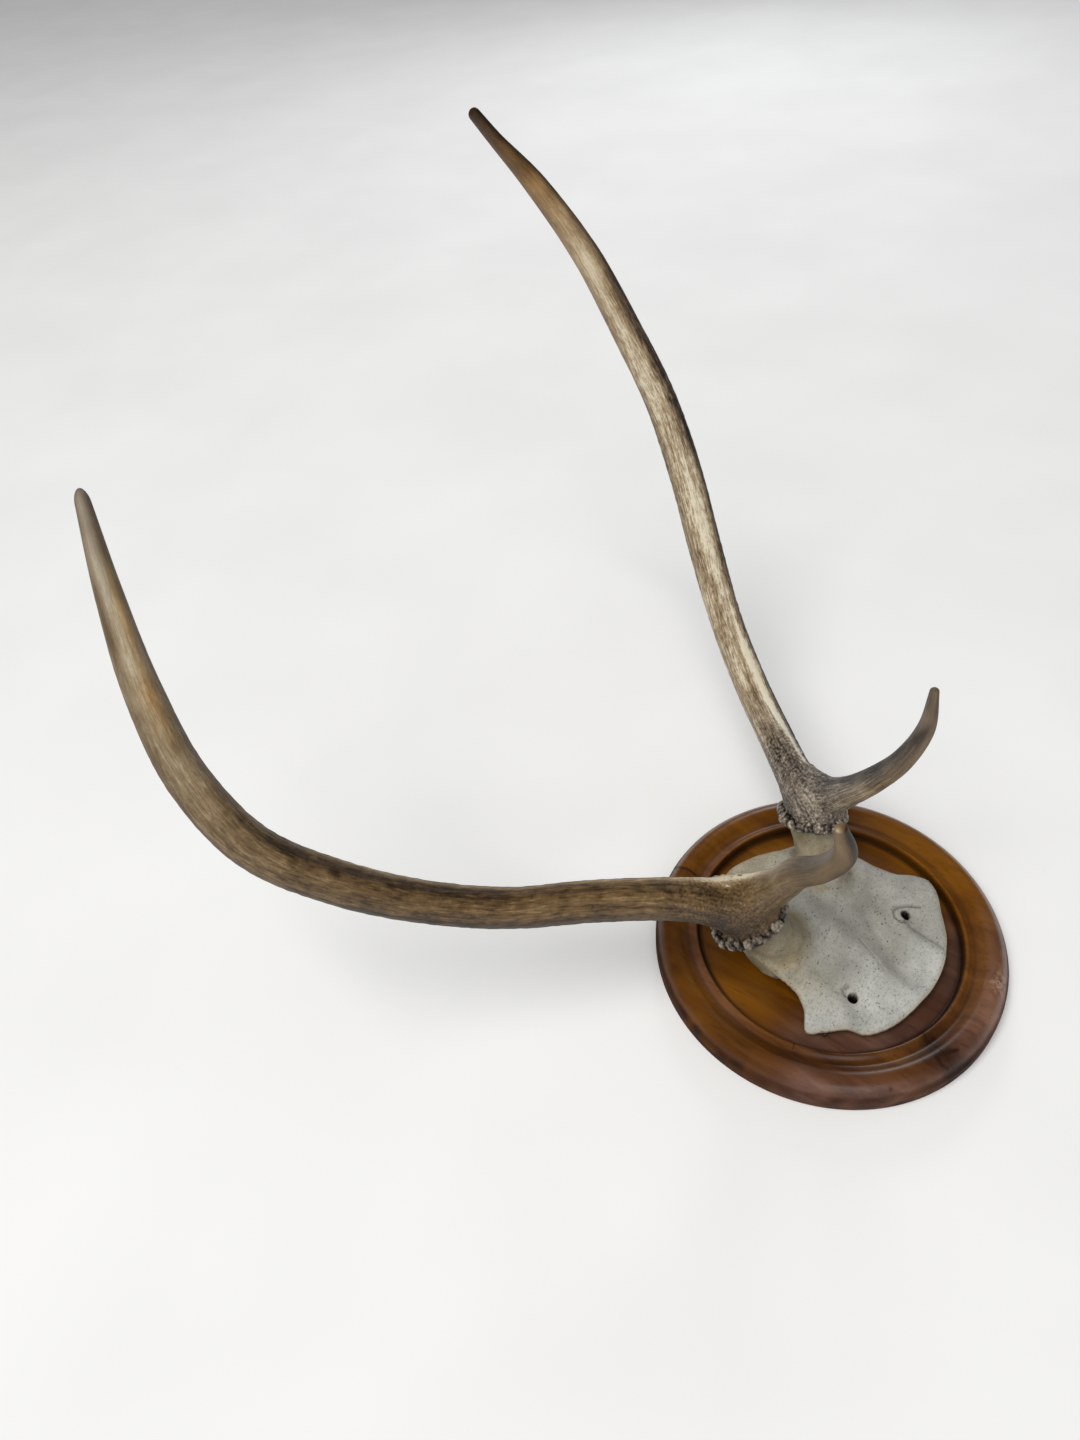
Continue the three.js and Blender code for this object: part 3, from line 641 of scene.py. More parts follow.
def bone_relief(x, y):
    """Finer relief on the outer face: the creases and small pits, low waves, and the two foramina
    as rounded shafts."""
    relief = sum(groove(x, y, *crease) for crease in CREASES)
    for pit_x, pit_y, size in PITS:
        relief = relief - 0.9 * bump(np.hypot(x - pit_x, y - pit_y), size)
    plan = np.stack([x, y, np.zeros_like(x)], axis=-1)
    relief = relief + 0.16 * ripples(plan, 13, 31) + 0.08 * ripples(plan, 4.5, 32)
    for hole_x, hole_y, size in FORAMINA:
        away = np.hypot(x - hole_x, y - hole_y)
        relief = relief - 7.5 * (1 - fade(away, size - 0.45, size + 0.55)) - 0.5 * bump(away, size + 1.6)
    return relief


def beyond_outline(x, y):
    """How far a plan point lies outside the plate's outline, measured from the middle."""
    line = smooth_through(PLATE_OUTLINE, np.linspace(0, 1, 721), closed=True)
    bearing = np.arctan2(line[:, 1], line[:, 0])
    order = np.argsort(bearing)
    edge = np.interp(np.arctan2(y, x), bearing[order], np.hypot(line[:, 0], line[:, 1])[order], period=TURN)
    return np.hypot(x, y) - edge


def plate_grid(pedicle_balls, join):
    """The skull plate's grid: rows run from the middle of the outer face, over a rounded arris,
    down the sawn edge and under to the middle of the foot. In plan a point is outline(t) x share,
    and its height is bone_top + relief, raised to the soft union with the pedicles near them."""
    rows, columns = 118, 560
    fine = np.linspace(0, 1, 4001)
    line = smooth_through(PLATE_OUTLINE, fine, closed=True)
    steps = np.concatenate([[0], np.cumsum(np.linalg.norm(np.diff(line, axis=0), axis=1))])
    share = np.interp(np.arange(columns) / columns * steps[-1], steps, fine)
    outline = smooth_through(PLATE_OUTLINE, share, closed=True)
    rows_top = np.linspace(0, 1, rows)
    rows_top[0] = 0.004
    top_share = rows_top[:, None] * np.ones(columns)
    x, y = (outline[None, :, k] * top_share for k in (0, 1))
    worn = 0.9 * fade(rows_top, 0.965, 1.0)[:, None]
    height = bone_top(x, y) + bone_relief(x, y) - worn
    ground = np.stack([x, y, height], axis=-1)
    low, high = np.full(x.shape, -0.6), np.full(x.shape, BONE_CAP)
    lifted = settle(ground, np.array([0.0, 0.0, 1.0]), low, high, lambda p: soft_union(
        (p[..., 2] - height) * PLATE_SLOPE, chain_distance(p, *pedicle_balls), join))
    ground = ground + np.stack([np.zeros_like(x), np.zeros_like(x), np.maximum(lifted, 0)], axis=-1)
    reach = chain_distance(ground, *pedicle_balls)
    under_share = np.array([1.003, 1.004, 1.0, 0.985, 0.96, 0.90, 0.84, 0.78, 0.73, 0.6, 0.3, 0.004])
    drop = np.array([0.9, 1.9, 2.7, 3.0, 3.0, 3.0, 3.0, 3.0, 99, 99, 99, 99])
    ux, uy = (outline[None, :, k] * under_share[:, None] for k in (0, 1))
    rim = bone_top(outline[:, 0], outline[:, 1])[None]
    rim = np.where(under_share[:, None] > 0.97, rim, bone_top(ux, uy))
    under = np.maximum(rim - 0.6 - drop[:, None], BONE_FOOT)
    rough = 0.35 * ripples(np.stack([ux, uy, under], axis=-1), 3.2, 51)
    sawn = (under_share[:, None] > 0.98) * 1.0
    below = np.stack([ux, uy, under + rough * sawn], axis=-1)
    below[..., :2] *= (1 - 0.004 * np.abs(rough) * sawn)[..., None]
    # painted shade inside the foramina and along the creases
    hole = np.max([1 - fade(np.hypot(x - hole_x, y - hole_y), size + 0.2, size + 0.8)
                   for hole_x, hole_y, size in FORAMINA], axis=0)
    creased = sum(groove(x, y, way, 0.8 * width, depth) for way, width, depth in CREASES)
    hole = np.maximum(hole, -0.32 * creased)
    # painted light: the plate is paler towards the front and along the midline ridge, with painted shade
    # down in the valleys
    ahead = 0.25 + 0.75 * fade(-0.5 * x - 0.85 * y, 20, 60) + 0.06 * bump(x + 8 - 0.18 * y, 7)
    ahead = ahead + 0.18 * sum(groove(x, y, way, 1.3 * width, depth) for way, width, depth in VALLEYS)
    points = np.vstack([ground, below])[::-1]
    edge = np.vstack([fade(rows_top, 0.97, 1.0)[:, None] * np.ones(columns), np.ones(ux.shape)])[::-1]
    stump = (1 - fade(reach, 0.0, 7.0)) * (0.3 + 0.7 * fade(y - 0.3 * x, 6, 24))
    # the back of the plate and a patch by the left pedicle turn tan and darker: a tan stain with painted
    # shade over it
    stump = stump + 0.62 * fade(y, 22, 58) + 0.40 * bump(x + 46, 12) * fade(y, -40, 5)
    stump = np.vstack([np.clip(stump, 0, 1), np.zeros(ux.shape)])[::-1]
    hole = np.vstack([hole, np.zeros(ux.shape)])[::-1]
    bleach = np.vstack([np.clip(ahead, 0, 1.2), np.full(ux.shape, 0.6)])[::-1]
    return grid_shell(points, [[0, 0, BONE_FOOT], [0, 0, float(height[0].mean())]],
                      edge=edge, stump=stump, hole=hole, bleach=bleach)


def pedicle_grid(stations, hand, join):
    """A pedicle: the limb grid, grown into the outer face of the plate at its foot and rough and
    porous in a collar under the burr."""
    outward = np.array([hand, 0.0, 0.0])
    own = ball_row(stations, 0, 1, 90)

    def plate(points):
        above = PLATE_SLOPE * (points[..., 2] - bone_top(points[..., 0], points[..., 1]))
        return np.maximum(above, beyond_outline(points[..., 0], points[..., 1]))

    rows, sides = 66, 120
    share = np.linspace(0, 1, rows)
    centre, _, out, up = limb_axes(stations, share, outward)
    angle = np.arange(sides) / sides * TURN
    ray = out[:, None] * np.cos(angle)[:, None] + up[:, None] * np.sin(angle)[:, None]
    radius = smooth_through(stations[:, 3:], share)[:, 0]
    far = radius[:, None] * np.ones(sides)
    start = np.repeat(centre[:, None], sides, axis=1)
    field = lambda p: blended(p, own, plate, join)
    met = settle(start, ray, far * 0.3, far + BONE_CAP, field)
    weight = fade(share, 0.55, 0.8)[:, None]
    far = met * (1 - weight) + far * weight
    points = start + ray * far[..., None]
    normals = grid_normals(points)
    collar = fade(share, 0.70, 0.92)[:, None]
    pocks = bump(ripples(points * [1, 1, 0.7], 3.4, 62) - 0.9, 0.35)
    cut = collar * (0.35 * ripples(points, 2.4, 61) - 0.9 * pocks)
    cut += 0.12 * ripples(points, 6, 63)
    points = points + normals * cut[..., None]
    stump = np.clip(0.75 + 0.35 * collar * np.ones(far.shape) + 0.1 * ripples(points, 9, 64), 0, 1.2)
    return grid_shell(points, [points[0].mean(0), points[-1].mean(0)],
                      edge=0 * far, stump=stump, hole=0 * far, bleach=0 * far)


# ---------- plaque and pin ----------
def rounded_section(corners, spacing):
    """A half section sampled along its length, sparsely where it is flat: a smooth curve through
    the corners."""
    fine = np.linspace(0, 1, 6000)
    line = smooth_through(corners, fine)
    steps = np.concatenate([[0], np.cumsum(np.linalg.norm(np.diff(line, axis=0), axis=1))])
    flat = (line[:, 1] < 0.3) | ((line[:, 0] < 76) & (line[:, 1] < PANEL_TOP + 0.1))
    weight = np.where(flat, 7.0, 1.0)
    cost = np.concatenate([[0], np.cumsum(np.diff(steps) / weight[1:])])
    count = int(cost[-1] / spacing)
    return smooth_through(corners, np.interp(np.linspace(0, cost[-1], count), cost, fine))


def plaque_grid():
    """The plaque: its half section turned about Z. Radial splits are columns that lie closer
    together, offset / radius from the split's bearing, whose middle pair drops to the split's
    floor where the radius is within its reach."""
    section = rounded_section(PLAQUE_SECTION, 0.62)[1:-1]
    radius, height = section[:, 0:1], section[:, 1:2]
    columns = 760
    offsets = np.array([-1.6, -1.05, -1.0, -0.94, 0.94, 1.0, 1.05, 1.6])
    base = np.arange(columns) / columns * TURN - np.pi
    for bearing, *_ in SPLITS:
        gap = np.abs((base - np.radians(bearing) + np.pi) % TURN - np.pi)
        base = base[gap > 0.02]
    angles = [base[None] * np.ones_like(radius)]
    drops = [np.zeros((len(radius), len(base)))]
    for bearing, inner, outer, wide, narrow, depth in SPLITS:
        width = narrow + (wide - narrow) * fade(radius, inner, RIM_RADIUS)
        spread = offsets[None] * width / 2 / np.maximum(radius, 78)
        angles.append(np.radians(bearing) + spread)
        cut = (radius > inner) & (radius < outer) & (np.abs(offsets) < 0.97)[None]
        cut = cut & (height > SPLIT_FLOOR)
        drops.append(np.where(cut, np.minimum(height - SPLIT_FLOOR, depth), 0))
    angle = np.hstack(angles)
    drop = np.hstack(drops)
    order = np.argsort(angle[len(angle) // 2])
    angle, drop = angle[:, order], drop[:, order]
    wall = fade(radius, 101.0, 104.3) * fade(-height, -17, -12)
    turned = 0.05 * (np.sin(angle * 3 + 1) - 1) * fade(radius, 70, 100)
    reach = np.minimum(radius, RIM_RADIUS) + turned
    level = np.maximum(height, 0) - drop
    points = np.stack([reach * np.cos(angle), reach * np.sin(angle), level], axis=-1)
    nicks = 0.04 * ripples(points, 9, 71) * fade(radius, 90, 104)
    points[..., 2] += nicks * (height > 2)
    x, y = points[..., 0], points[..., 1]
    bearing = np.degrees(angle)
    arc = radius / 57.3  # millimetres for each degree
    stain = 0.95 * bump((bearing + 113) * arc, 8) * fade(radius, 76, 84)
    stain = stain + 0.7 * bump((bearing + 120) * arc, 9) * bump(radius - 92, 9)
    checked = np.clip(-sum(groove(x, y, check, 0.75, 0.9) for check in CHECKS), 0, 1)
    stain = stain + 1.0 * (drop > 0.3) + checked + 0.8 * wall * (0.85 + 0.25 * ripples(points, 12, 72))
    # painted shade on the outer slope of the rim at the left
    stain = stain + 0.35 * bump((bearing - 158) / 38, 1) * fade(radius, 88, 97)
    stain = stain + 1.3 * bump((bearing - 96.1) * arc, 1.1) * fade(radius, 80, 88)
    # sheen and shade: a mauve brown mixed in as a painted sky reflection on the near rim, strongest in the
    # mauve band, as a painted highlight along the inner bead at the back, and as painted shade over the
    # front of the panel
    ahead = -0.4 * x - 0.92 * y
    # painted highlight: in the cove at the front left the mauve and the painted shade are held back,
    # leaving the plain golden orange
    cove_highlight = bump((bearing + 130) / 17, 1) * (1 - fade(radius, 96, 101))
    mauve_reflection = bump((bearing + 158) / 15, 1)
    rim_sheen_and_shade = fade(ahead, 25, 85) * (0.25 + 0.75 * fade(radius, 87, 96)) * (1 - 0.7 * cove_highlight)
    rim_sheen_and_shade = rim_sheen_and_shade * (0.66 + 0.34 * mauve_reflection) + 0.45 * bump(radius - 83, 3) * fade(y, -20, 40)
    panel = radius < PANEL_RADIUS
    dusk = np.where(panel, fade(ahead, 20, 60), rim_sheen_and_shade)
    dusk = dusk * (0.9 + 0.2 * ripples(points * [1, 1, 0], 34, 73))
    # painted shade over the front of the panel, darker towards the right
    stain = stain + (0.58 + 0.50 * fade(x, -40, 0)) * dusk * panel
    scuff = bump(np.hypot((x - 20) / 7, (y + 96) / 4.0), 1.0)
    # painted shade where the panel meets the inner wall under the bead and down in the cove, and a small
    # dark dot on the rim
    hollow = fade(-np.abs(radius - 77.9), -2.4 - 1.6 * fade(y, 20, 60), -0.3) * (height < 17.2)
    hollow = hollow + 0.5 * bump(radius - 85.2, 1.6) * (1 - cove_highlight)
    hollow = hollow + bump(np.hypot(x + 72, y + 71) / 1.0, 1.0)
    whole = np.ones(angle.shape)
    return grid_shell(points, [[0, 0, 0], [0, 0, PANEL_TOP]], stain=np.clip(stain, 0, 1.2),
                      dusk=np.clip(dusk, 0, 1), scuff=scuff, bare=wall * whole,
                      hollow=np.clip(hollow * whole, 0, 1))


def pin_grid():
    """The pin: a plain round wire, its half section turned about its own upright axis."""
    x, y = PIN_PLACE
    top = float(bone_top(np.array(x), np.array(y))) - 3 - 0.6
    section = np.array([[0.9, BONE_FOOT], [PIN_RADIUS, BONE_FOOT + 0.2],
                        [PIN_RADIUS, (BONE_FOOT + top) / 2], [PIN_RADIUS, top - 0.2], [0.9, top]])
    angle = np.arange(32) / 32 * TURN
    points = np.stack([x + section[:, 0:1] * np.cos(angle), y + section[:, 0:1] * np.sin(angle),
                       section[:, 1:2] * np.ones(32)], axis=-1)
    return grid_shell(points, [[x, y, BONE_FOOT], [x, y, top]])


# ---------- finishes ----------
def linear(hex_colour):
    """A colour written as sRGB hex, turned to linear light, with full alpha."""
    value = hex_colour.lstrip("#")
    parts = [int(value[k:k + 2], 16) / 255 for k in (0, 2, 4)]
    return tuple(c / 12.92 if c <= 0.04045 else ((c + 0.055) / 1.055) ** 2.4 for c in parts) + (1.0,)


class Finish:
    """A node material being made. Each method adds a node and gives its output."""

    def __init__(self, name):
        self.material = bpy.data.materials.new(name)
        self.material.use_nodes = True
        self.material.node_tree.nodes.clear()
        self.shader = self.add("BsdfPrincipled")
        self.add("OutputMaterial", {"Surface": self.shader.outputs["BSDF"]})
        self.place = self.add("TexCoord").outputs["Object"]

    def feed(self, socket, value):
        """Gives a socket a link, a colour written as hex or a plain value."""
        if isinstance(value, bpy.types.NodeSocket):
            self.material.node_tree.links.new(value, socket)
        else:
            socket.default_value = linear(value) if isinstance(value, str) else value

    def add(self, kind, inputs=None, **settings):
        made = self.material.node_tree.nodes.new("ShaderNode" + kind)
        for name, value in settings.items():
            setattr(made, name, value)
        for key, value in (inputs or {}).items():
            self.feed(made.inputs[key], value)
        return made

    def mark(self, name, output="Fac"):
        return self.add("Attribute", attribute_name=name).outputs[output]

    def squeezed(self, vector, factors):
        return self.add("VectorMath", {0: vector, 1: factors}, operation="MULTIPLY").outputs[0]

    def noise(self, scale, detail=2.0, roughness=0.5, distortion=0.0, space=None):
        inputs = {"Vector": space or self.place, "Scale": scale, "Detail": detail, "Roughness": roughness,
                  "Distortion": distortion}
        return self.add("TexNoise", inputs).outputs["Fac"]

    def dots(self, pitch, edge, core, depth):
        """Spots as many millimetres apart as the pitch: 0 outside the edge, the depth inside the core."""
        cells = self.add("TexVoronoi", {"Vector": self.place, "Scale": 1000 / pitch, "Randomness": 1.0})
        return self.read(cells.outputs["Distance"], edge, core, 0.0, depth)

    def read(self, value, low, high, start, end):
        """Straight from start, where the value is low, to end, where it is high."""
        return self.add("MapRange", {"Value": value, 1: low, 2: high, 3: start, 4: end}).outputs[0]

    def maths(self, operation, a, b, clamp=False):
        return self.add("Math", {0: a, 1: b}, operation=operation, use_clamp=clamp).outputs[0]

    def plus(self, a, b, clamp=False):
        return self.maths("ADD", a, b, clamp)

    def minus(self, a, b):
        return self.maths("SUBTRACT", a, b)

    def times(self, a, b, clamp=False):
        return self.maths("MULTIPLY", a, b, clamp)

    def larger(self, a, b):
        return self.maths("MAXIMUM", a, b)

    def ramp(self, value, stops):
        """A colour ramp over a value, from (place, hex colour) stops."""
        ramp = self.add("ValToRGB", {"Fac": value})
        while len(ramp.color_ramp.elements) < len(stops):
            ramp.color_ramp.elements.new(0.5)
        for element, (place, colour) in zip(ramp.color_ramp.elements, stops):
            element.position = place
            element.color = linear(colour)
        return ramp.outputs["Color"]

    def mix(self, factor, first, second):
        """A colour between two: colour sockets are the seventh and eighth of a Mix node."""
        return self.add("Mix", {0: factor, 6: first, 7: second}, data_type="RGBA").outputs[2]

    def relief(self, height, strength, distance):
        return self.add("Bump", {"Height": height, "Strength": strength, "Distance": distance}).outputs[0]

    def done(self, inputs):
        for name, value in inputs.items():
            self.feed(self.shader.inputs[name], value)
        return self.material


def antler_finish(name, stops, contrast):
    """Antler: dense bone stained brown by bark and soil when the velvet was rubbed off. Fibres 1 to
    2 mm apart hold the stain in short lengthwise dashes, the ground near the burr is stippled, and
    tips are worn smooth. A dry low gloss, higher on the pearls. IOR of bone, about 1.54."""
    made = Finish(name)
    grain = made.mark("grain", "Vector")
    tone, warmth, worn, burr = (made.mark(mark) for mark in ("tone", "warmth", "worn", "burr"))
    # the grain mark is in millimetres, squeezed lengthwise so that spots draw out into fibres
    dashes = made.noise(1.0, 3.0, 0.62, space=made.squeezed(grain, (1, 1, 0.13)))
    bands = made.noise(0.34, space=made.squeezed(grain, (1, 1, 0.04)))
    stipple = made.noise(1000 / 1.5)
    fibrous = made.minus(1.25, made.times(burr, 0.65))
    streaks = made.times(made.minus(dashes, 0.5), fibrous)
    streaks = made.plus(streaks, made.times(made.minus(bands, 0.5), 0.60))
    lasting = made.minus(contrast, made.times(worn, 0.72 * contrast))
    dotting = made.plus(made.times(burr, 0.80), 0.30)
    speckle = made.times(made.minus(stipple, 0.5), dotting)
    # the tone carries painted light and shade from the patches as well as the stain
    value = made.plus(tone, made.times(made.plus(streaks, speckle), lasting), clamp=True)
    warm, cool = made.ramp(value, WARM_STOPS), made.ramp(value, COOL_STOPS)
    colour = made.mix(made.larger(warmth, 0.0), made.ramp(value, stops), warm)
    colour = made.mix(made.larger(made.times(warmth, -1.0), 0.0), colour, cool)
    height = made.plus(made.times(dashes, lasting), made.times(stipple, 0.4))
    return made.done({"Base Color": colour, "Roughness": made.read(burr, 0.9, 1.5, 0.56, 0.30),
                      "Normal": made.relief(height, 0.5, 0.0005), "IOR": 1.54})


def bone_finish():
    """Boiled and bleached skull bone: chalky off-white with a cool cast, dotted with the mouths of
    vessels 0.5 mm across, warmer at the sawn edge and on the pedicles. Painted light makes the front
    of the plate paler, and painted shade darkens its valleys, its back, the foramina and the creases.
    IOR about 1.55, dry."""
    made = Finish("bleached skull bone")
    edge, stump, hole, bleach = (made.mark(mark) for mark in ("edge", "stump", "hole", "bleach"))
    clouds = made.noise(1000 / 22, 4.0, 0.6)
    # the bone in painted shade (dull) and in painted light (pale), mixed by the painted light mark
    dull = made.ramp(clouds, ((0.30, "#85827a"), (0.50, "#9b998f"), (0.72, "#aeaca1")))
    pale = made.ramp(clouds, ((0.30, "#a3a39d"), (0.50, "#b8b8b2"), (0.72, "#c9c9c2")))
    stumpy = made.ramp(clouds, ((0.32, "#7b6a48"), (0.5, "#9c8b65"), (0.7, "#b8a884")))
    colour = made.mix(bleach, dull, pale)
    colour = made.mix(made.times(edge, 0.45), colour, "#a8926c")
    # stumpy tan: the pedicles' own colour, and at the back of the plate and by the left pedicle a stain
    # with painted shade
    colour = made.mix(made.times(stump, 0.85, True), colour, stumpy)
    # open pores 1 to 1.5 mm across mottle the whole skin
    porous = made.read(made.noise(1000 / 1.3, 3.0, 0.65), 0.50, 0.34, 0.0, 0.45)
    colour = made.mix(porous, colour, "#6f6b60")
    # vessel mouths: fine close dots in patches, and a few larger ones where a slow noise is high
    patchy = made.read(made.noise(1000 / 9, 1.0), 0.36, 0.60, 0.0, 1.0)
    sown = made.read(made.noise(1000 / 14), 0.48, 0.54, 0.0, 1.0)
    mouths = made.larger(made.times(made.dots(4.2, 0.13, 0.07, 1.0), sown),
                         made.times(made.dots(2.6, 0.27, 0.12, 0.7), patchy))
    colour = made.mix(made.times(mouths, 0.80), colour, "#2e281f")
    # painted shade: the foramina and the creases are painted near-black where they run on into the bone,
    # out of the light
    colour = made.mix(hole, colour, "#120d08")
    height = made.minus(made.noise(1000 / 1.6, 3.0), made.times(mouths, 2.0))
    return made.done({"Base Color": colour, "Normal": made.relief(height, 0.35, 0.0003), "Roughness": 0.62,
                      "IOR": 1.55})


def wood_finish():
    """Close-grained hardwood, turned, stained red-brown and varnished. Its figure is 9 mm wide and
    its pores are 1.4 mm apart, both drawn out tenfold up and down the board. Beside its real stains and
    cracks the colour carries painted shade in the hollows and on the front of the panel, and a painted
    mauve reflection of the sky on the near rim. The varnish is a clear coat with a soft gloss, and the
    outer wall has lost it. Wood IOR about 1.5, varnish 1.5."""
    made = Finish("varnished turned wood")
    marks = ("stain", "scuff", "hollow", "dusk", "bare")
    stain, scuff, hollow, dusk, bare = (made.mark(mark) for mark in marks)
    board = made.squeezed(made.place, (1, 0.10, 1))
    figure = made.noise(1000 / 9, 5.0, 0.6, 0.4, space=board)
    pores = made.noise(1000 / 1.4, space=board)
    clouds = made.noise(1000 / 60)
    value = made.plus(made.times(figure, 0.45), made.times(clouds, 0.55))
    plain = made.ramp(value, ((0.30, "#3d1e04"), (0.44, "#563004"), (0.56, "#6c4005"), (0.70, "#825007")))
    # the wood in mauve brown, for the painted reflection and highlight on the rim and the painted shade on
    # the panel
    sheen_and_shade_wood = made.ramp(value, ((0.30, "#4f3228"), (0.46, "#704f43"), (0.58, "#886759"), (0.72, "#9d7d6d")))
    colour = made.mix(made.times(dusk, 0.9), plain, sheen_and_shade_wood)
    colour = made.mix(made.read(pores, 0.42, 0.30, 0.0, 0.30), colour, "#2c1408")
    # stain and shade: real stains and cracks, with painted shade on the left of the rim and the front of
    # the panel
    colour = made.mix(made.times(stain, 0.75, True), colour, "#241009")
    # painted shade in the hollows
    colour = made.mix(made.times(hollow, 0.8, True), colour, "#160a05")
    patchy = made.read(made.noise(1000 / 3.0, 3.0), 0.45, 0.6, 0.0, 1.0)
    colour = made.mix(made.times(made.times(scuff, patchy), 0.7), colour, "#b59a86")
    height = made.plus(made.times(figure, 0.6), made.times(pores, 0.4))
    return made.done({"Base Color": colour, "Normal": made.relief(height, 0.10, 0.0003), "IOR": 1.5,
                      "Roughness": made.read(bare, 0.0, 1.0, 0.36, 0.75),
                      "Specular IOR Level": made.read(bare, 0.0, 1.0, 0.5, 0.15),
                      "Coat Weight": made.read(bare, 0.0, 1.0, 0.35, 0.0),
                      "Coat Roughness": 0.42, "Coat IOR": 1.5})


def steel_finish():
    """Drawn steel wire, dulled pale by zinc: a satin metal, faintly mottled."""
    made = Finish("dull steel wire")
    drawn = made.ramp(made.noise(1000 / 0.8), ((0.3, "#8f8e88"), (0.7, "#c9c8c2")))
    return made.done({"Base Color": drawn, "Metallic": 1.0, "Roughness": 0.42})


def floor_finish():
    """A matt near-white studio sheet."""
    made = Finish("pale studio sheet")
    sheet = made.ramp(made.noise(6.0), ((0.3, "#f0f0ef"), (0.7, "#f5f5f4")))
    return made.done({"Base Color": sheet, "Roughness": 0.9})


# ---------- sizes a user would change ----------
class AntlerSizes(bpy.types.PropertyGroup):
    fork_round: bpy.props.FloatProperty(
        name="Fork round", description="Width of the web that fills each fork", default=0.011,
        min=0.002, max=0.02, unit="LENGTH")
    furrow_depth: bpy.props.FloatProperty(
        name="Furrow depth", description="Depth of the deepest lengthwise furrows", default=0.0004,
        min=0.0, max=0.001, unit="LENGTH", precision=5)


class BoneSizes(bpy.types.PropertyGroup):
    pedicle_round: bpy.props.FloatProperty(
        name="Pedicle round", description="Width of the fillet where a pedicle grows from the plate",
        default=0.007, min=0.002, max=0.02, unit="LENGTH")


class StageSizes(bpy.types.PropertyGroup):
    floor_size: bpy.props.FloatProperty(
        name="Floor size", description="Side of the pale floor", default=8.0, min=2.0, unit="LENGTH")
    key_power: bpy.props.FloatProperty(
        name="Key light", description="Power of the large soft light high on the left", default=172.0,
        min=0.0, unit="POWER")
    fill_power: bpy.props.FloatProperty(
        name="Fill light", description="Power of the low light behind the camera", default=6.0, min=0.0,
        unit="POWER")
    window_power: bpy.props.FloatProperty(
        name="Window light", description="Power of the small light low at the far right", default=7.0,
        min=0.0, unit="POWER")
    sky: bpy.props.FloatProperty(
        name="Sky", description="Strength of the even white surroundings", default=0.26, min=0.0)


# ---------- looks, lights and camera ----------
RIGHT_LOOK = {"beam": RIGHT_BEAM_SHADES, "beam warmth": RIGHT_BEAM_WARMTH, "tine": RIGHT_TINE_SHADES,
              "tine warmth": RIGHT_TINE_WARMTH, "pearls": 70}
LEFT_LOOK = {"beam": LEFT_BEAM_SHADES, "beam warmth": LEFT_BEAM_WARMTH, "tine": LEFT_TINE_SHADES,
             "tine warmth": LEFT_TINE_WARMTH, "pearls": 60}
# Ramps over the tone: the two grounds, and the ramps of the amber and the greyed patches.
WARM_STOPS = ((0.0, "#140c05"), (0.25, "#3f2a10"), (0.5, "#755325"), (0.72, "#a37c48"), (0.95, "#cfb186"))
COOL_STOPS = ((0.0, "#141312"), (0.22, "#3a3735"), (0.45, "#69645e"), (0.68, "#98928a"), (0.95, "#d6d2c8"))
RIGHT_STOPS = ((0.0, "#17120e"), (0.22, "#43362a"), (0.45, "#7b6850"), (0.68, "#a8967a"), (0.95, "#ddd5bd"))
LEFT_STOPS = ((0.0, "#1a1209"), (0.22, "#42311f"), (0.45, "#6d583a"), (0.68, "#968365"), (0.95, "#d6ccb0"))
# Lights: name, its power in StageSizes, side in metres, place, tint, and whether surfaces mirror it.
# The key and the surroundings light the surfaces but leave no gloss on them.
LIGHTS = (
    ("key softbox", "key_power", 2.7, (-1.95, 0.42, 4.2), (1.0, 0.985, 0.96), False),
    ("low softbox", "fill_power", 0.9, (-1.4, -1.25, 1.15), (1.0, 0.99, 0.97), True),
    ("window", "window_power", 0.5, (1.95, 1.05, 1.05), (0.95, 0.98, 1.0), True),
)
LIT_PLACE = (-0.05, 0.1, 0.1)
CAMERA_PLACE = (-0.3383, -0.0909, 0.5652)
CAMERA_RIGHT = (0.5923, -0.8007, -0.0893)
CAMERA_LOOK = (0.5116, 0.4594, -0.7261)
LENS, SENSOR = 25.0, 36.0  # millimetres


# ---------- operators ----------
class TROPHY_OT_right_antler(bpy.types.Operator):
    """Grow the antler on the viewer's right, with its brow tine and burr"""
    bl_idname = "trophy.right_antler"
    bl_label = "Right antler"

    def execute(self, context):
        shells = antler_shells(RIGHT_BEAM, RIGHT_TINE, RIGHT_BURR_AXIS, 1, 11, RIGHT_LOOK)
        finish = antler_finish("right antler, tan", RIGHT_STOPS, 1.0)
        make_piece("right_antler", shells, finish, ("right_beam", "right_brow_tine"))
        return {"FINISHED"}


class TROPHY_OT_left_antler(bpy.types.Operator):
    """Grow the antler on the viewer's left, with its brow tine and burr"""
    bl_idname = "trophy.left_antler"
    bl_label = "Left antler"

    def execute(self, context):
        shells = antler_shells(LEFT_BEAM, LEFT_TINE, LEFT_BURR_AXIS, -1, 12, LEFT_LOOK)
        finish = antler_finish("left antler, olive tan", LEFT_STOPS, 0.62)
        make_piece("left_antler", shells, finish, ("left_beam", "left_brow_tine"))
        return {"FINISHED"}


class TROPHY_OT_skull_bone(bpy.types.Operator):
    """Shape the cut skull plate with both pedicles"""
    bl_idname = "trophy.skull_bone"
    bl_label = "Skull plate"

    def execute(self, context):
        join = context.scene.bone_sizes.pedicle_round / MM
        balls = [ball_row(stations, 0, 1, 60) for stations in (RIGHT_PEDICLE, LEFT_PEDICLE)]
        both = [np.concatenate(part) for part in zip(*balls)]
        shells = [plate_grid(both, join), pedicle_grid(RIGHT_PEDICLE, 1, join),
                  pedicle_grid(LEFT_PEDICLE, -1, join)]
        make_piece("skull_bone", shells, bone_finish(), ("skull_plate",))
        return {"FINISHED"}


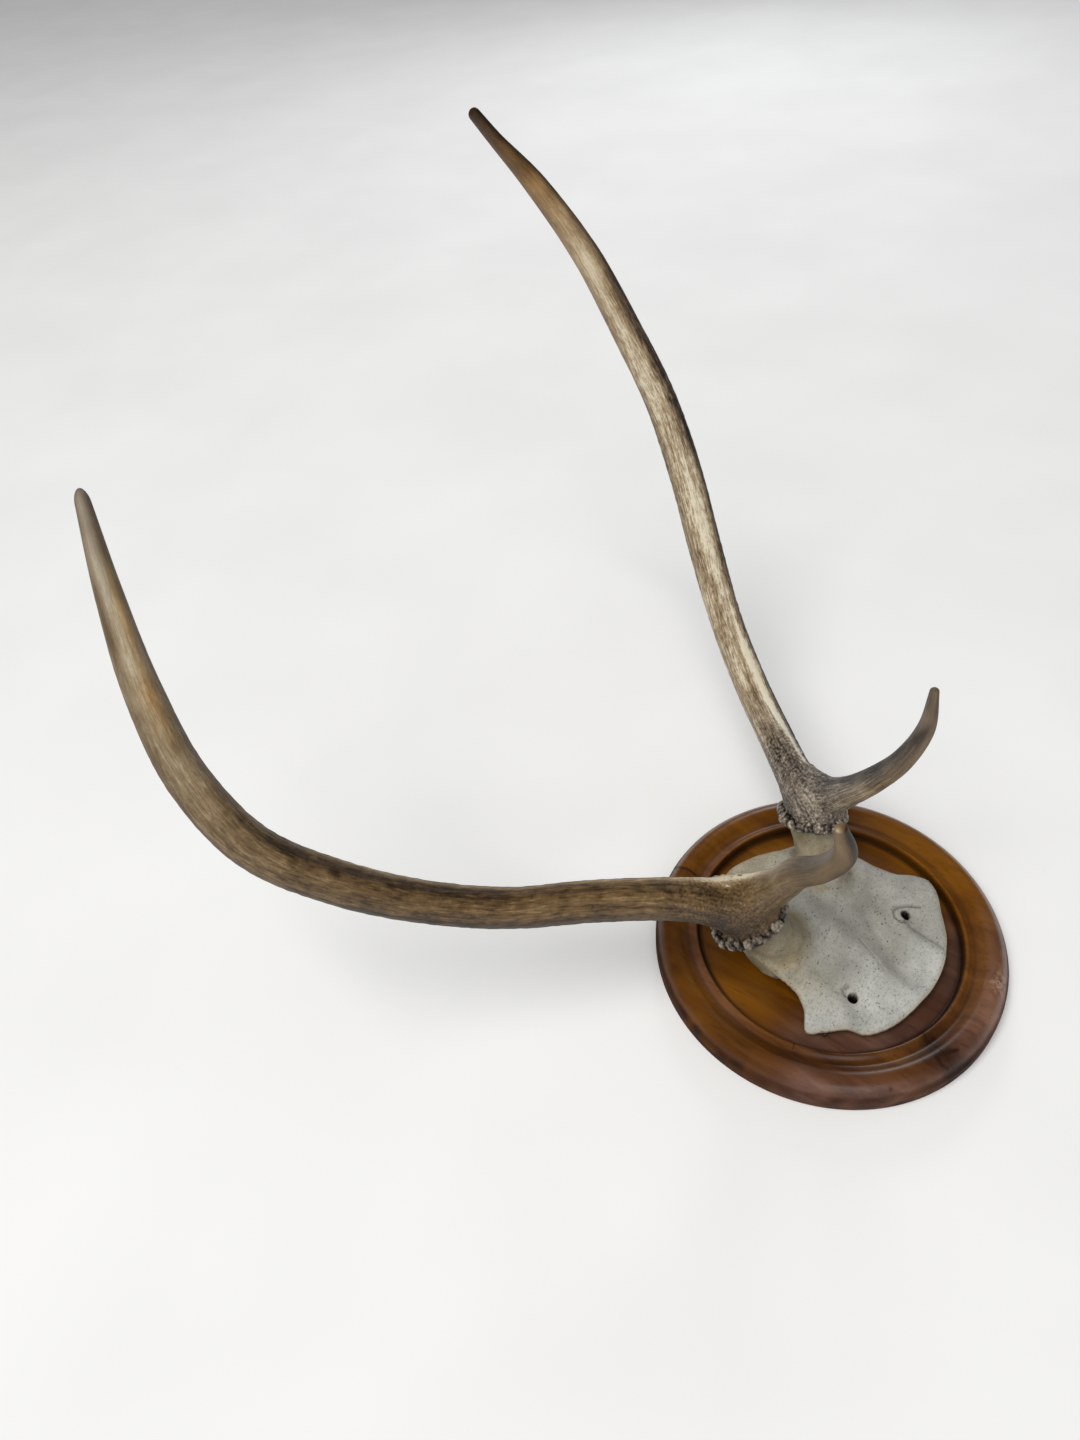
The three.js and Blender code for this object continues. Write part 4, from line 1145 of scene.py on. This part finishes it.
class TROPHY_OT_plaque(bpy.types.Operator):
    """Turn the round wooden plaque"""
    bl_idname = "trophy.plaque"
    bl_label = "Plaque"

    def execute(self, context):
        make_piece("turned_plaque", [plaque_grid()], wood_finish(), ("plaque",))
        return {"FINISHED"}


class TROPHY_OT_pin(bpy.types.Operator):
    """Draw the pin under the bone's front left corner"""
    bl_idname = "trophy.pin"
    bl_label = "Pin"

    def execute(self, context):
        make_piece("bone_pin", [pin_grid()], steel_finish(), ("fixing_pin",))
        return {"FINISHED"}


class TROPHY_OT_stage(bpy.types.Operator):
    """Lay the pale floor, hang the lights and stand the camera"""
    bl_idname = "trophy.stage"
    bl_label = "Stage"

    def execute(self, context):
        sizes = context.scene.stage_sizes
        half = sizes.floor_size / 2
        sheet = bpy.data.meshes.new("floor")
        corners = [(-half, -half, 0), (half, -half, 0), (half, half, 0), (-half, half, 0)]
        sheet.from_pydata(corners, [], [(0, 1, 2, 3)])
        sheet.materials.append(floor_finish())
        floor = bpy.data.objects.new("floor", sheet)
        context.scene.collection.objects.link(floor)
        for name, power, size, spot, tint, mirrored in LIGHTS:
            light = bpy.data.lights.new(name, "AREA")
            light.energy = getattr(sizes, power)
            light.size = size
            light.color = tint
            lamp = bpy.data.objects.new(name, light)
            lamp.location = spot
            lamp.visible_glossy = mirrored
            lamp.rotation_euler = (Vector(spot) - Vector(LIT_PLACE)).to_track_quat("Z", "Y").to_euler()
            context.scene.collection.objects.link(lamp)
        world = bpy.data.worlds.new("white surroundings")
        world.use_nodes = True
        backdrop = world.node_tree.nodes["Background"]
        backdrop.inputs["Color"].default_value = linear("#f4f7fb")
        backdrop.inputs["Strength"].default_value = sizes.sky
        world.cycles_visibility.glossy = False
        context.scene.world = world
        context.scene.view_settings.view_transform = "Standard"
        eye = bpy.data.cameras.new("camera")
        eye.lens, eye.sensor_width = LENS, SENSOR
        camera = bpy.data.objects.new("camera", eye)
        right = Vector(CAMERA_RIGHT).normalized()
        look = Vector(CAMERA_LOOK).normalized()
        upward = right.cross(look).normalized()
        right = look.cross(upward).normalized()
        turn = Matrix((right, upward, -look)).transposed()
        camera.matrix_world = Matrix.Translation(CAMERA_PLACE) @ turn.to_4x4()
        context.scene.collection.objects.link(camera)
        context.scene.camera = camera
        return {"FINISHED"}


class TROPHY_PT_panel(bpy.types.Panel):
    """Lists the sizes and the pieces in the 3D view's sidebar"""
    bl_idname = "TROPHY_PT_panel"
    bl_label = "Mounted Antlers"
    bl_space_type = "VIEW_3D"
    bl_region_type = "UI"
    bl_category = "Mounted Antlers"

    def draw(self, context):
        for group in SIZE_GROUPS:
            sizes = getattr(context.scene, group)
            for name in sizes.bl_rna.properties.keys():
                if name not in ("rna_type", "name"):
                    self.layout.prop(sizes, name)
        for operator in OPERATORS:
            self.layout.operator(operator.bl_idname)


SIZE_GROUPS = {"antler_sizes": AntlerSizes, "bone_sizes": BoneSizes, "stage_sizes": StageSizes}
OPERATORS = (TROPHY_OT_plaque, TROPHY_OT_skull_bone, TROPHY_OT_right_antler, TROPHY_OT_left_antler,
             TROPHY_OT_pin, TROPHY_OT_stage)
CLASSES = (*SIZE_GROUPS.values(), *OPERATORS, TROPHY_PT_panel)


def register():
    for made in CLASSES:
        bpy.utils.register_class(made)
    for name, group in SIZE_GROUPS.items():
        setattr(bpy.types.Scene, name, bpy.props.PointerProperty(type=group))


def unregister():
    for name in SIZE_GROUPS:
        delattr(bpy.types.Scene, name)
    for made in reversed(CLASSES):
        bpy.utils.unregister_class(made)


def main():
    register()
    for operator in OPERATORS:
        getattr(bpy.ops.trophy, operator.bl_idname.split(".")[1])()


if __name__ == "__main__":
    main()
